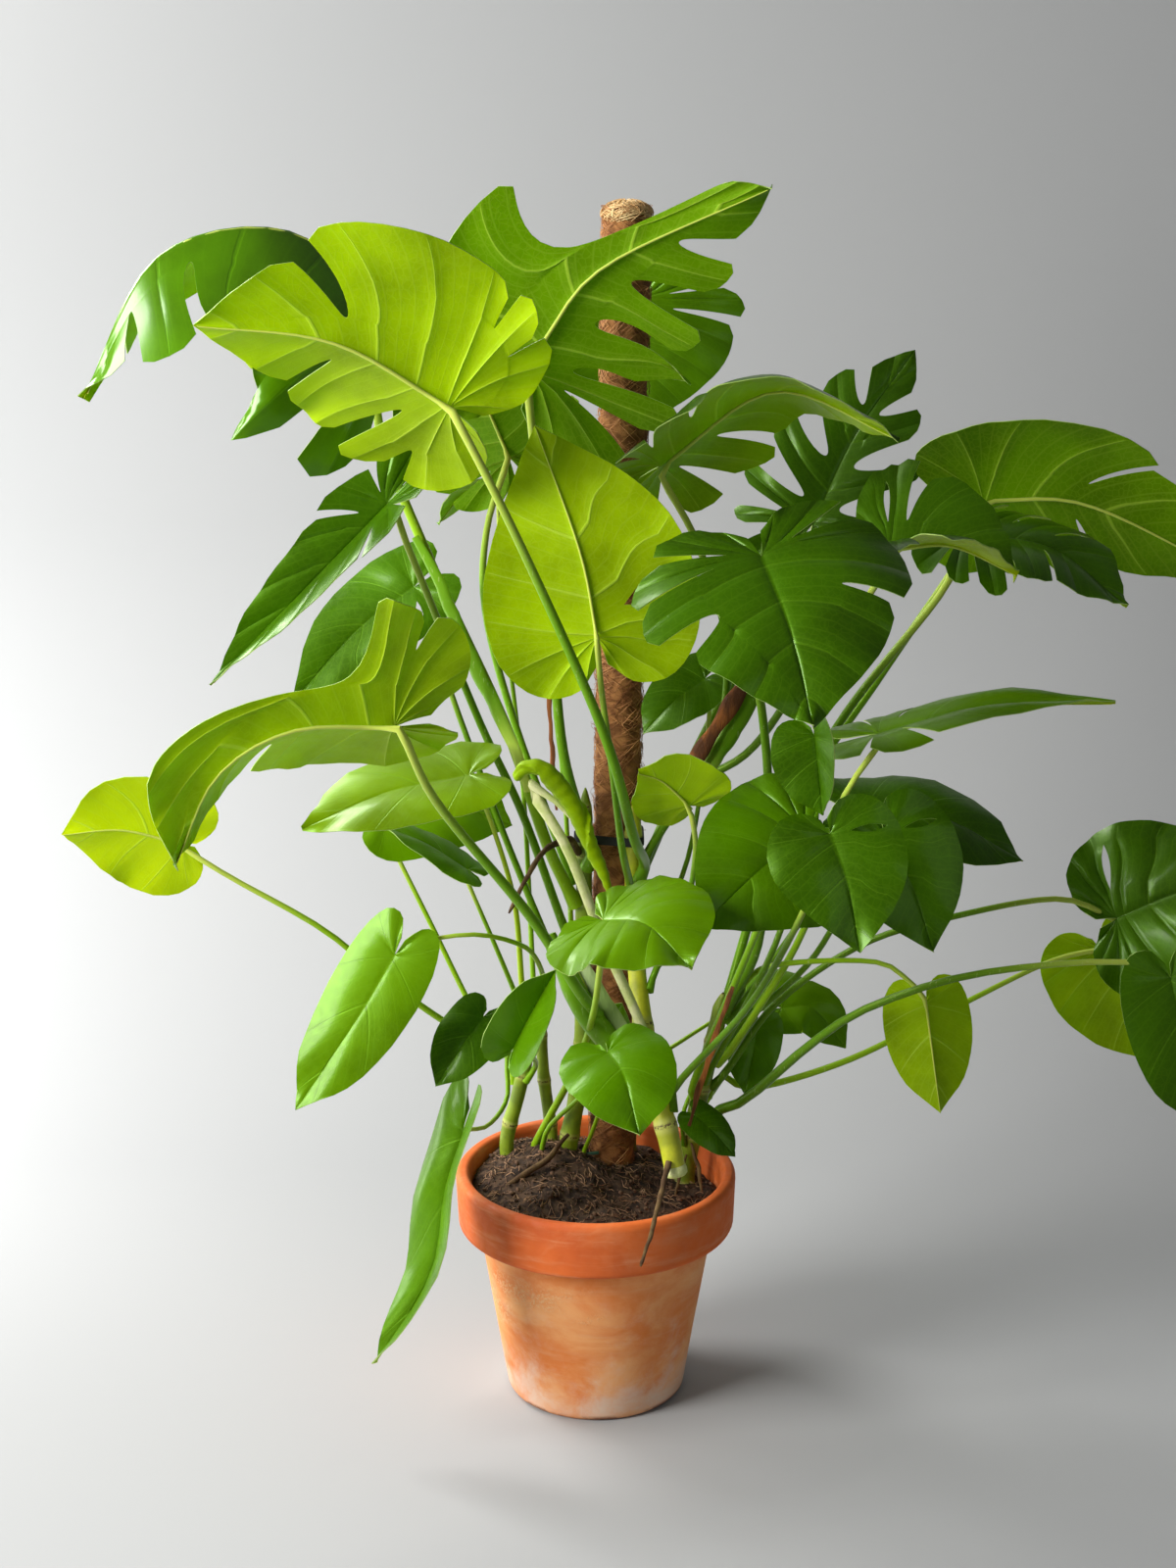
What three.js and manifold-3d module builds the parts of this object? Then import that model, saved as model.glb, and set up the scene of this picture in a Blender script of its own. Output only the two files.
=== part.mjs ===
// Potted swiss cheese plant: split leaves on long stalks, on a climbing stem and five shoots round
// a coir pole, in a terracotta pot. Millimetres, +Z up, origin at the centre of the pot's base.

import * as THREE from 'three';
import { mergeVertices } from 'three/addons/utils/BufferGeometryUtils.js';
import Module from 'manifold-3d';

const wasm = await Module();
wasm.setup();

// Driving sizes
const TOUCH = 0.4;
const STALK_FOOT = 188;
const POT = {
  outer: [[0, 0], [86, 0], [90, 4], [118, 176], [136, 178], [139, 182], [141, 230], [138, 235]],
  inner: [[130, 235], [127, 230], [124, 190], [107, 172], [78, 14], [0, 14]],
  sides: 32,
  holes: 3,
  holeRadius: 9,
  holeRing: 48,
};
const SOIL = {
  radius: 124.2,
  edge: 205,
  mound: 34,
  moundAt: [-45, 35],
  moundSpread: 62,
  rings: 3,
  sides: 20,
  ripple: 2.5,
};
const POLE = {
  foot: [16, 58, 200],
  top: [28.5, 58, 1183],
  coirRadius: 24,
  coirFrom: 190,
  coirRings: 9,
  coirSides: 16,
  stakeRadius: 9,
  stakeFrom: 60,
  stakeTo: 1150,
  stakeSides: 12,
};
const TIE = { width: 9, thickness: 1.6, heights: [440, 566], sides: 20, coirGap: 1.2, stemGap: 0.6 };
const STEM_SIDES = 8;
const ROOT_SIDES = 6;
const STALK_SIDES = 5;

// Colours
const COLOURS = {
  terracotta: '#c8703f',
  soil: '#43352a',
  coir: '#8a5a3c',
  stake: '#6b5138',
  strap: '#1d1d1c',
  stem: '#8f9a55',
  bark: '#7a6a4c',
  root: '#5d4126',
  underside: '#8fa84e',
  fresh: '#7fae4a',
  green: '#4f8541',
  dark: '#2f5c35',
};

// The points along one half of a leaf's margin, from the notch at the stalk to the tip, as
// fractions of the leaf's length and of its half width.
const marginCurve = (points) => new THREE.CatmullRomCurve3(
  points.map(([x, y]) => new THREE.Vector3(x, y, 0)), false, 'catmullrom', 0.5,
);
const SPLIT_MARGIN = marginCurve([
  [-0.13, 0.05], [-0.24, 0.3], [-0.22, 0.66], [-0.06, 0.92], [0.17, 1],
  [0.42, 0.9], [0.66, 0.62], [0.86, 0.27], [1, 0],
]);
const HEART_MARGIN = marginCurve([
  [-0.1, 0.05], [-0.21, 0.3], [-0.2, 0.66], [-0.05, 0.92], [0.2, 1],
  [0.47, 0.93], [0.73, 0.67], [0.89, 0.28], [1, 0],
]);
const FAN = 0.46;

// Cuts from the margin, each as: place along the margin, depth where it starts, gap in mm on the
// left half, gap on the right half and, for a closed slit, where it ends.
const CUTS = {
  deep: [[0.38, 0.3, 12, 14], [0.5, 0.3, 14, 12], [0.62, 0.3, 12, 13], [0.75, 0.3, 10, 9]],
  open: [[0.32, 0.3, 26, 26], [0.48, 0.3, 26, 24], [0.62, 0.3, 20, 22]],
  fingers: [[0.3, 0.3, 24, 46], [0.47, 0.3, 24, 54], [0.65, 0.3, 20, 34]],
  swept: [[0.4, 0.3, 40, 14], [0.66, 0.3, 36, 0], [0.76, 0.3, 0, 190], [0.84, 0.3, 24, 0]],
  great: [[0.34, 0.62, 10, 0], [0.64, 0.3, 180, 0], [0.74, 0.3, 0, 20]],
  front: [[0.3, 0.62, 10, 0], [0.42, 0.62, 10, 24], [0.56, 0.3, 0, 22], [0.76, 0.3, 20, 12]],
  hanging: [[0.32, 0.3, 34, 14], [0.45, 0.3, 32, 12], [0.58, 0.3, 30, 12], [0.74, 0.3, 22, 8]],
  three: [[0.3, 0.3, 24, 9], [0.5, 0.6, 0, 10], [0.66, 0.3, 10, 0]],
  lower: [[0.42, 0.3, 12, 0], [0.56, 0.3, 12, 0], [0.7, 0.3, 11, 9]],
  half: [[0.36, 0.3, 12, 10], [0.54, 0.3, 10, 12]],
  slot: [[0.56, 0.3, 20, 0, 0.82]],
  slit: [[0.48, 0.3, 12, 0, 0.82]],
  slits: [[0.4, 0.3, 12, 12, 0.82], [0.58, 0.3, 12, 12]],
  whole: [],
};

// Stems, each as its axis and radius. Two of them climb the pole, at its left and right front.
const poleAt = (z) => {
  const share = (z - POLE.foot[2]) / (POLE.top[2] - POLE.foot[2]);
  return [POLE.foot[0] + share * (POLE.top[0] - POLE.foot[0]), POLE.foot[1]];
};
const besidePole = (aside, heights) => heights.map((z) => {
  const [x, y] = poleAt(z);
  return [x + aside[0], y + aside[1], z];
});
const STEMS = {
  climbing_stem: { axis: [[-30, 44, 178], [-28, 44, 240], ...besidePole([-32, -15], [330, 430, 530, 620])],
    radius: 10, end: 8, tone: 'stem' },
  front_shoot: { axis: [[77, -105, 274], [67, -98, 320], [52, -75, 370], [42, -25, 430],
    ...besidePole([18, -35], [485]), ...besidePole([16, -31], [545, 610])],
  radius: 11, end: 8, tone: 'fresh' },
  left_shoot: { axis: [[-82, 50, 178], [-92, 57, 235], [-80, 55, 290], [-70, 50, 340], [-64, 42, 420]],
    radius: 8, end: 7, tone: 'stem' },
  inner_shoot: { axis: [[-46, 72, 178], [-46, 72, 240], [-54, 74, 310], [-58, 76, 400]],
    radius: 7, end: 6, tone: 'stem' },
  right_shoot: { axis: [[86, 32, 178], [95, 31, 240], [106, 22, 310], [118, 10, 370], [126, 4, 420]],
    radius: 11, end: 8, tone: 'stem' },
  rear_shoot: { axis: [[32, 88, 178], [34, 96, 260], [32, 101, 360], [30, 104, 450], [30, 106, 520]],
    radius: 10, end: 8, tone: 'bark' },
};

// Aerial roots, each as the stem it leaves, the height and direction there, and its way down.
const ROOTS = {
  root_over_rim: { from: ['front_shoot', 290, 250],
    way: [[62, -132, 268], [54, -148, 240], [42, -152, 200]],
    radius: 3.2, end: 1.6 },
  root_on_climber: { from: ['climbing_stem', 556, 228],
    way: [[-28, 5, 578], [-55, -35, 572], [-84, -50, 520]],
    radius: 4, end: 1.8 },
};

// Leaves, each as: spine from the stalk's joint to the tip, width, the way its upper side faces,
// its cuts, its fold and curl in degrees, and the stalk from its stem to the joint.
const LEAVES = {
  // Crown, seen mostly from below
  crown_far_left: { spine: [[-195, 60, 1095], [-290, 15, 1160], [-400, -25, 1135], [-468, -45, 1010]],
    width: 320, face: [-0.2, 0.1, 1], cuts: 'hanging', fold: [-62, -10], curl: [45, 40], tone: 'fresh',
    from: ['climbing_stem', 500, 215],
    stalk: [[-50, 0, 580], [-88, 0, 695], [-160, 30, 850], [-208, 50, 980]],
    radius: 6, end: 4 },
  crown_front_left: { spine: [[-125, -210, 1020], [-220, -225, 1075], [-335, -235, 1090]],
    width: 260, face: [0, 1, 0.15], cuts: 'front', fold: [5, 40], curl: [25, 10], tone: 'underside',
    from: ['front_shoot', 530, 300], stalk: [[34, -90, 610], [5, -170, 730], [-65, -208, 900]],
    radius: 5.5, end: 3.5 },
  crown_top: { spine: [[-60, -45, 1035], [-40, -55, 1075], [10, -75, 1132], [152, -100, 1198]],
    width: 310, sides: [0.92, 0.78], face: [0, 1, 0.15], cuts: 'swept', fold: [10, 5], curl: [30, 15],
    tone: 'underside',
    from: ['climbing_stem', 540, 285], stalk: [[-32, -40, 680], [-44, -50, 835], [-58, -48, 970]],
    radius: 5.5, end: 3.5 },
  crown_rear_left: { spine: [[-85, 120, 935], [-120, 140, 1010], [-150, 150, 1055]],
    width: 180, face: [0, 0.9, 0.4], cuts: 'half', fold: 10, curl: 30, tone: 'underside',
    from: ['climbing_stem', 520, 160], stalk: [[-80, 90, 670], [-110, 105, 785], [-108, 112, 865]],
    radius: 4.5, end: 3 },
  crown_behind_pole: { spine: [[45, 195, 1085], [48, 190, 1030], [45, 165, 960]],
    width: 210, face: [0, -0.85, 0.5], cuts: 'half', fold: 12, curl: 30, tone: 'green',
    from: ['rear_shoot', 480, 90], stalk: [[30, 150, 650], [32, 190, 840], [40, 208, 1000]],
    radius: 4.5, end: 3 },
  crown_right: { spine: [[58, -50, 950], [160, -70, 1020], [270, -100, 980]],
    width: 190, face: [0.2, 0.35, 0.9], cuts: 'open', fold: 15, curl: 60, tone: 'dark',
    from: ['front_shoot', 545, 0], stalk: [[115, -25, 690], [120, -40, 790], [92, -52, 880]],
    radius: 4.5, end: 3 },
  crown_rear_right: { spine: [[220, 180, 860], [262, 205, 945], [325, 235, 1030]],
    width: 190, face: [-0.3, -0.85, 0.3], cuts: 'fingers', fold: 12, curl: 30, tone: 'dark',
    from: ['rear_shoot', 500, 10], stalk: [[100, 105, 640], [155, 130, 740], [212, 168, 820]],
    radius: 5.5, end: 3.5 },

  // Middle right
  middle_heart: { spine: [[0, -150, 810], [-15, -142, 885], [-55, -122, 995]],
    width: 195, face: [0.05, 0.95, -0.1], cuts: 'slot', fold: 8, curl: 20, tone: 'underside',
    from: ['front_shoot', 505, 262], stalk: [[24, -62, 590], [14, -112, 680], [4, -138, 760]],
    radius: 4, end: 2.5 },
  middle_front_right: { spine: [[140, -220, 895], [162, -275, 840], [178, -325, 770]],
    width: 250, face: [0, -0.8, 0.6], cuts: 'three', fold: 12, curl: 40, tone: 'dark',
    from: ['right_shoot', 400, 290],
    stalk: [[156, -62, 500], [160, -85, 640], [150, -130, 735], [134, -190, 810]],
    radius: 5, end: 3.5 },
  middle_right_edge_on: { spine: [[265, -90, 880], [320, -100, 885], [378, -115, 860]],
    width: 175, face: [0, -0.1, 1], cuts: 'slits', fold: [50, 30], curl: [10, 30], tone: 'fresh',
    from: ['front_shoot', 590, 20], stalk: [[140, 5, 660], [190, -35, 740], [245, -85, 830]],
    radius: 4.5, end: 3 },
  middle_far_right: { spine: [[350, 0, 880], [425, -30, 870], [490, -60, 820]],
    width: 180, face: [0, -0.3, 0.95], cuts: 'deep', fold: 15, curl: 50, tone: 'dark',
    from: ['right_shoot', 405, 30], stalk: [[190, 30, 590], [240, 15, 700], [325, 0, 820]],
    radius: 5, end: 3.5 },
  middle_rear_right: { spine: [[380, 110, 895], [470, 100, 895], [565, 88, 855], [630, 78, 815]],
    width: 175, face: [0, 0.95, 0.3], cuts: 'lower', fold: 12, curl: 30, tone: 'fresh',
    from: ['right_shoot', 370, 75], stalk: [[190, 90, 570], [285, 105, 720], [362, 110, 840]],
    radius: 5, end: 3.5 },
  middle_right_long: { spine: [[255, -136, 718], [350, -140, 745], [465, -150, 750]],
    width: 120, face: [0, -0.35, 0.94], cuts: 'half', fold: 20, curl: 50, tone: 'fresh',
    from: ['right_shoot', 345, 325], stalk: [[198, -50, 500], [222, -115, 640]],
    radius: 4, end: 2.6 },
  middle_right_folded: { spine: [[190, -210, 735], [194, -222, 700], [197, -231, 668]],
    width: 80, face: [-0.4, -0.85, 0.3], cuts: 'whole', fold: [55, 20], curl: 10, tone: 'dark',
    from: ['right_shoot', 325, 275], stalk: [[172, -72, 500], [205, -108, 662]],
    radius: 3.6, end: 2.4 },

  // Middle left
  left_upper: { spine: [[-190, -90, 920], [-255, -105, 855], [-350, -122, 760]],
    width: 140, sides: [0.8, 0.7], face: [-0.4, -0.8, 0.4], cuts: 'half', fold: 35, curl: 10, tone: 'green',
    from: ['climbing_stem', 455, 195],
    stalk: [[-72, 18, 600], [-112, -10, 700], [-158, -70, 840], [-175, -86, 890]],
    radius: 4.5, end: 3 },
  left_great: { spine: [[-175, -240, 750], [-260, -262, 752], [-325, -272, 714], [-364, -271, 634]],
    width: 270, sides: [1, 0.6], face: [0, 1, 0.2], faceTip: [-0.5, 0.8, 0.2], cuts: 'great',
    fold: [5, 45], curl: [35, 20], tone: 'underside',
    from: ['front_shoot', 385, 190], stalk: [[-10, -130, 460], [-60, -170, 555], [-140, -218, 675]],
    radius: 6, end: 3.5 },
  left_rear_upper: { spine: [[-180, 100, 810], [-240, 90, 765], [-300, 70, 700]],
    width: 125, face: [0, -0.8, 0.6], cuts: 'slit', fold: 12, curl: 30, tone: 'dark',
    from: ['climbing_stem', 400, 175], stalk: [[-90, 65, 560], [-145, 95, 705]],
    radius: 4, end: 2.6 },
  left_far_heart: { spine: [[-390, -70, 595], [-445, -80, 612], [-500, -90, 610]],
    width: 125, face: [0, 1, 0.2], cuts: 'whole', fold: 10, curl: 25, tone: 'fresh',
    from: ['left_shoot', 330, 250],
    stalk: [[-115, -15, 375], [-195, -50, 445], [-260, -65, 508], [-345, -72, 562]],
    radius: 3.8, end: 2.4 },
  left_middle_heart: { spine: [[-120, -60, 660], [-200, -72, 645], [-275, -90, 615]],
    width: 110, face: [0.05, -0.35, 0.93], cuts: 'whole', fold: 12, curl: 30, tone: 'dark',
    from: ['inner_shoot', 370, 200], stalk: [[-80, 10, 510], [-100, -48, 610]],
    radius: 3.4, end: 2.2 },
  left_pale_heart: { spine: [[-210, 60, 585], [-145, 85, 590], [-85, 100, 565]],
    width: 110, face: [0, -0.7, 0.7], cuts: 'whole', fold: 12, curl: 30, tone: 'fresh',
    from: ['left_shoot', 300, 150], stalk: [[-118, 55, 370], [-165, 50, 475]],
    radius: 3.2, end: 2.2 },
  left_small_heart: { spine: [[-125, -20, 555], [-165, -15, 580], [-205, -10, 595]],
    width: 50, face: [0, -0.2, 0.97], cuts: 'whole', fold: 12, curl: 30, tone: 'green',
    from: ['left_shoot', 385, 200], stalk: [[-100, 5, 470]],
    radius: 2.8, end: 2 },
  rear_left_small: { spine: [[-105, 190, 900], [-135, 188, 890], [-160, 180, 860]],
    width: 50, face: [0, 0.5, 0.85], cuts: 'whole', fold: 12, curl: 30, tone: 'green',
    from: ['inner_shoot', 350, 110], stalk: [[-75, 140, 600], [-95, 178, 780]],
    radius: 3, end: 2 },
  rear_middle_small: { spine: [[-45, 120, 740], [-68, 113, 745], [-90, 112, 724]],
    width: 55, face: [0, 0.5, 0.85], cuts: 'whole', fold: 12, curl: 30, tone: 'green',
    from: ['climbing_stem', 410, 120], stalk: [[-30, 105, 570], [-38, 118, 660]],
    radius: 3, end: 2 },
  middle_small_dark: { spine: [[105, 20, 735], [75, 10, 715], [45, 0, 685]],
    width: 70, face: [-0.3, -0.7, 0.6], cuts: 'whole', fold: 15, curl: 20, tone: 'dark',
    from: ['rear_shoot', 400, 330], stalk: [[90, 50, 540], [108, 32, 670]],
    radius: 3, end: 2 },
  new_rolled: { spine: [[-55, -132, 670], [-15, -136, 630], [15, -138, 570]],
    width: 60, face: [0.5, -0.8, 0.3], cuts: 'whole', fold: 60, curl: -20, tone: 'fresh',
    from: ['front_shoot', 350, 230], stalk: [[48, -112, 410], [5, -122, 520], [-35, -124, 620]],
    radius: 3.6, end: 2.4 },

  // Low front
  front_bright: { spine: [[5, -255, 580], [42, -292, 588], [80, -330, 560]],
    width: 150, face: [0, -0.45, 0.9], cuts: 'whole', fold: 8, curl: 30, tone: 'fresh',
    from: ['soil', -66, 50],
    stalk: [[-50, 35, 270], [-32, 8, 315], [-15, -50, 375], [-2, -150, 460], [4, -228, 540]],
    radius: 4, end: 2.8 },
  front_glossy: { spine: [[190, -160, 630], [145, -190, 605], [90, -220, 560]],
    width: 160, face: [0, -0.8, 0.6], cuts: 'slit', fold: 12, curl: 40, tone: 'green',
    from: ['right_shoot', 305, 240], stalk: [[132, -62, 450], [166, -128, 570]],
    radius: 4, end: 2.8 },
  front_dark: { spine: [[200, -262, 660], [215, -282, 620], [225, -300, 565]],
    width: 120, face: [0, -0.9, 0.4], cuts: 'slit', fold: 15, curl: 30, tone: 'dark',
    from: ['front_shoot', 330, 340], stalk: [[142, -185, 480], [186, -250, 600]],
    radius: 3.8, end: 2.6 },
  front_thin: { spine: [[250, -60, 625], [325, -62, 620], [405, -60, 575]],
    width: 110, face: [0, -0.5, 0.85], cuts: 'whole', fold: 12, curl: 40, tone: 'dark',
    from: ['right_shoot', 390, 350], stalk: [[205, -15, 510], [238, -42, 590]],
    radius: 3.6, end: 2.4 },
  front_low_dark: { spine: [[265, -120, 620], [290, -138, 575], [310, -150, 515]],
    width: 120, face: [0, -0.9, 0.3], cuts: 'slit', fold: 12, curl: 30, tone: 'dark',
    from: ['right_shoot', 365, 345], stalk: [[208, -32, 465], [244, -100, 570]],
    radius: 3.6, end: 2.4 },
  front_ribbed: { spine: [[86, -114, 645], [60, -128, 672], [38, -138, 682]],
    width: 100, face: [0, 0.8, 0.6], cuts: 'whole', fold: 12, curl: 25, tone: 'underside',
    from: ['front_shoot', 430, 340], stalk: [[80, -62, 500], [92, -98, 590]],
    radius: 3.6, end: 2.4 },
  front_middle_heart: { spine: [[10, -185, 430], [25, -218, 418], [38, -250, 375]],
    width: 105, face: [0, -0.75, 0.65], cuts: 'whole', fold: 12, curl: 35, tone: 'green',
    from: ['soil', -56, 34], stalk: [[-48, 12, 272], [-15, -70, 340], [3, -145, 395]],
    radius: 2.8, end: 2.2 },
  front_pale_small: { spine: [[8, -50, 390], [15, -58, 412], [25, -66, 435]],
    width: 45, face: [0, -0.9, 0.4], cuts: 'whole', fold: 15, curl: 25, tone: 'fresh',
    from: ['soil', -14, 38], stalk: [[-4, 25, 262], [8, 5, 310], [10, -35, 360]],
    radius: 2.4, end: 1.8 },
  left_folded: { spine: [[-78, -126, 412], [-60, -130, 450], [-38, -122, 488]],
    width: 70, face: [-0.3, -0.9, 0.1], cuts: 'whole', fold: 45, curl: 10, tone: 'green',
    from: ['left_shoot', 310, 300], stalk: [[-62, -55, 375]],
    radius: 3, end: 2 },
  left_low_heart: { spine: [[-108, -92, 430], [-128, -112, 408], [-152, -124, 372]],
    width: 62, face: [0, -0.8, 0.6], cuts: 'whole', fold: 12, curl: 30, tone: 'dark',
    from: ['left_shoot', 345, 270], stalk: [[-92, -30, 400]],
    radius: 2.8, end: 2 },
  left_low_bright: { spine: [[-188, -130, 505], [-225, -150, 445], [-280, -165, 365]],
    width: 88, face: [-0.1, -0.85, 0.5], cuts: 'whole', fold: 15, curl: 25, tone: 'green',
    from: ['left_shoot', 400, 310],
    stalk: [[-58, -40, 470], [-72, -85, 500], [-110, -115, 520], [-155, -124, 518]],
    radius: 2.8, end: 2 },
  left_hanging: { spine: [[-125, -110, 315], [-145, -122, 255], [-172, -132, 170], [-218, -140, 90]],
    width: 100, face: [-0.3, -0.8, 0.5], cuts: 'whole', fold: 50, curl: 0, tone: 'green',
    from: ['left_shoot', 375, 250], stalk: [[-88, 0, 355], [-88, -30, 322], [-105, -75, 312]],
    radius: 3, end: 2 },

  // Low right
  right_pale_folded: { spine: [[315, -80, 440], [322, -90, 390], [330, -100, 335]],
    width: 90, face: [0, 0.9, 0.2], cuts: 'whole', fold: 25, curl: 10, tone: 'fresh',
    from: ['right_shoot', 412, 322], stalk: [[170, -52, 468], [265, -70, 478], [300, -80, 460]],
    radius: 3.2, end: 2.2 },
  right_rear_pale: { spine: [[505, 35, 455], [535, 30, 400], [560, 20, 340]],
    width: 140, face: [0, 0.9, 0.3], cuts: 'whole', fold: 15, curl: 30, tone: 'fresh',
    from: ['right_shoot', 300, 30],
    stalk: [[160, 28, 310], [250, 18, 342], [345, 22, 390], [450, 35, 440]],
    radius: 3.8, end: 2.4 },
  right_long_dark: { spine: [[500, -50, 515], [560, -70, 550], [615, -88, 570]],
    width: 180, face: [0, -0.8, 0.6], cuts: 'slit', fold: 10, curl: 30, tone: 'dark',
    from: ['right_shoot', 316, 352],
    stalk: [[180, 16, 405], [260, -8, 474], [345, -30, 510], [445, -42, 532]],
    radius: 4, end: 2.6 },
  right_hanging: { spine: [[530, -150, 490], [545, -160, 425], [558, -170, 350]],
    width: 100, face: [-0.3, -0.9, 0.2], cuts: 'whole', fold: 25, curl: 20, tone: 'dark',
    from: ['right_shoot', 272, 330],
    stalk: [[150, -20, 318], [210, -60, 392], [260, -92, 440], [350, -128, 485], [470, -148, 505]],
    radius: 5.5, end: 2.4 },
  right_low_upright: { spine: [[164, 44, 372], [158, 32, 342], [150, 14, 308]],
    width: 55, face: [0, -0.8, 0.5], cuts: 'whole', fold: 12, curl: 25, tone: 'green',
    from: ['right_shoot', 252, 120], stalk: [[116, 66, 320]],
    radius: 2.6, end: 1.8 },
  right_low_bright: { spine: [[190, 70, 380], [222, 68, 380], [255, 60, 340]],
    width: 60, face: [0, -0.7, 0.7], cuts: 'whole', fold: 12, curl: 30, tone: 'fresh',
    from: ['right_shoot', 262, 60], stalk: [[150, 62, 335]],
    radius: 2.6, end: 1.8 },
  rear_low_fresh: { spine: [[155, 120, 375], [192, 128, 385], [230, 130, 375]],
    width: 55, face: [0, -0.4, 0.9], cuts: 'whole', fold: 12, curl: 30, tone: 'fresh',
    from: ['rear_shoot', 280, 20], stalk: [[90, 108, 330]],
    radius: 2.6, end: 1.8 },
  right_pot_small: { spine: [[98, -22, 300], [118, -32, 285], [138, -36, 262]],
    width: 42, face: [0, -0.6, 0.8], cuts: 'whole', fold: 12, curl: 30, tone: 'dark',
    from: ['right_shoot', 250, 230], stalk: [[86, -2, 280]],
    radius: 2.4, end: 1.8 },
};

// Small helpers
const vector = ([x, y, z]) => new THREE.Vector3(x, y, z);
const curveThrough = (points) => new THREE.CatmullRomCurve3(points, false, 'catmullrom', 0.5);
const pair = (value) => (Array.isArray(value) ? value : [value, value]);

// A number from -0.5 to 0.5 that is fixed for each pair of indices.
function jitter(i, j) {
  const wave = Math.sin(i * 12.9898 + j * 78.233) * 43758.5453;
  return wave - Math.floor(wave) - 0.5;
}

function solidOfTriangles(points, triangles) {
  return new wasm.Manifold(new wasm.Mesh({
    numProp: 3,
    vertProperties: new Float32Array(points.flatMap((p) => [p.x, p.y, p.z])),
    triVerts: new Uint32Array(triangles.flat()),
  }));
}

function solidOfGeometry(geometry) {
  const plain = geometry.clone();
  plain.deleteAttribute('normal');
  plain.deleteAttribute('uv');
  const merged = mergeVertices(plain, 1e-3);
  return new wasm.Manifold(new wasm.Mesh({
    numProp: 3,
    vertProperties: new Float32Array(merged.attributes.position.array),
    triVerts: new Uint32Array(merged.index.array),
  }));
}

// The largest body of a solid, without the slivers that a union can leave.
function largest(solid) {
  return solid.decompose().sort((a, b) => b.volume() - a.volume())[0];
}

function geometryOf(solid) {
  const mesh = solid.getMesh();
  const geometry = new THREE.BufferGeometry();
  geometry.setAttribute('position', new THREE.BufferAttribute(mesh.vertProperties, mesh.numProp));
  geometry.setIndex(new THREE.BufferAttribute(mesh.triVerts, 1));
  const loose = geometry.toNonIndexed();
  loose.computeVertexNormals();
  return loose;
}

// A turned solid from [radius, height] pairs that start and end on the axis, +Z up.
function turned(profile, sides) {
  const lathe = new THREE.LatheGeometry(profile.map(([r, z]) => new THREE.Vector2(r, z)), sides);
  lathe.rotateX(Math.PI / 2);
  return lathe;
}

// A closed tube along a curve, its radius running from one value to another.
function tube(points, radius, end, sides, steps) {
  const curve = curveThrough(points);
  const frames = curve.computeFrenetFrames(steps, false);
  const vertices = [];
  const triangles = [];
  for (let i = 0; i <= steps; i += 1) {
    const centre = curve.getPointAt(i / steps);
    const r = radius + (end - radius) * (i / steps);
    for (let k = 0; k < sides; k += 1) {
      const angle = (2 * Math.PI * k) / sides;
      vertices.push(centre.clone()
        .addScaledVector(frames.normals[i], r * Math.cos(angle))
        .addScaledVector(frames.binormals[i], r * Math.sin(angle)));
    }
  }
  for (let i = 0; i < steps; i += 1) {
    for (let k = 0; k < sides; k += 1) {
      const a = i * sides + k;
      const b = i * sides + ((k + 1) % sides);
      triangles.push([a, b, b + sides], [a, b + sides, a + sides]);
    }
  }
  for (let k = 1; k < sides - 1; k += 1) {
    const last = steps * sides;
    triangles.push([0, k + 1, k], [last, last + k, last + k + 1]);
  }
  return solidOfTriangles(vertices, triangles);
}

// The point on a stem's axis at a height, with the axis direction there.
function onStem(name, height) {
  const curve = curveThrough(STEMS[name].axis.map(vector));
  let low = 0;
  let high = 1;
  while (high - low > 1e-6) {
    const middle = (low + high) / 2;
    if (curve.getPointAt(middle).z < height) low = middle;
    else high = middle;
  }
  const share = (low + high) / 2;
  const { radius, end } = STEMS[name];
  return {
    centre: curve.getPointAt(share),
    along: curve.getTangentAt(share),
    radius: radius + (end - radius) * share,
  };
}

// How a stalk leaves its stem: sunk into it by a share of its radius, then out and up in mm.
const SEAT = { sunk: 0.2, out: 8, up: 24 };

// Where a stalk of a given radius leaves its stem, and a point a little further up beside it.
function seatOn([name, ...place], radius) {
  if (name === 'soil') return [STALK_FOOT, STALK_FOOT + 40].map((z) => vector([...place, z]));
  const [height, azimuth] = place;
  const { centre, along, radius: stemRadius } = onStem(name, height);
  const angle = THREE.MathUtils.degToRad(azimuth);
  const away = new THREE.Vector3(Math.cos(angle), Math.sin(angle), 0);
  away.addScaledVector(along, -away.dot(along)).normalize();
  const seat = centre.clone().addScaledVector(away, stemRadius + SEAT.sunk * radius);
  const outwards = (1 - SEAT.sunk) * radius + SEAT.out;
  const beside = seat.clone().addScaledVector(away, outwards).addScaledVector(along, SEAT.up);
  return [seat, beside];
}

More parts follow.
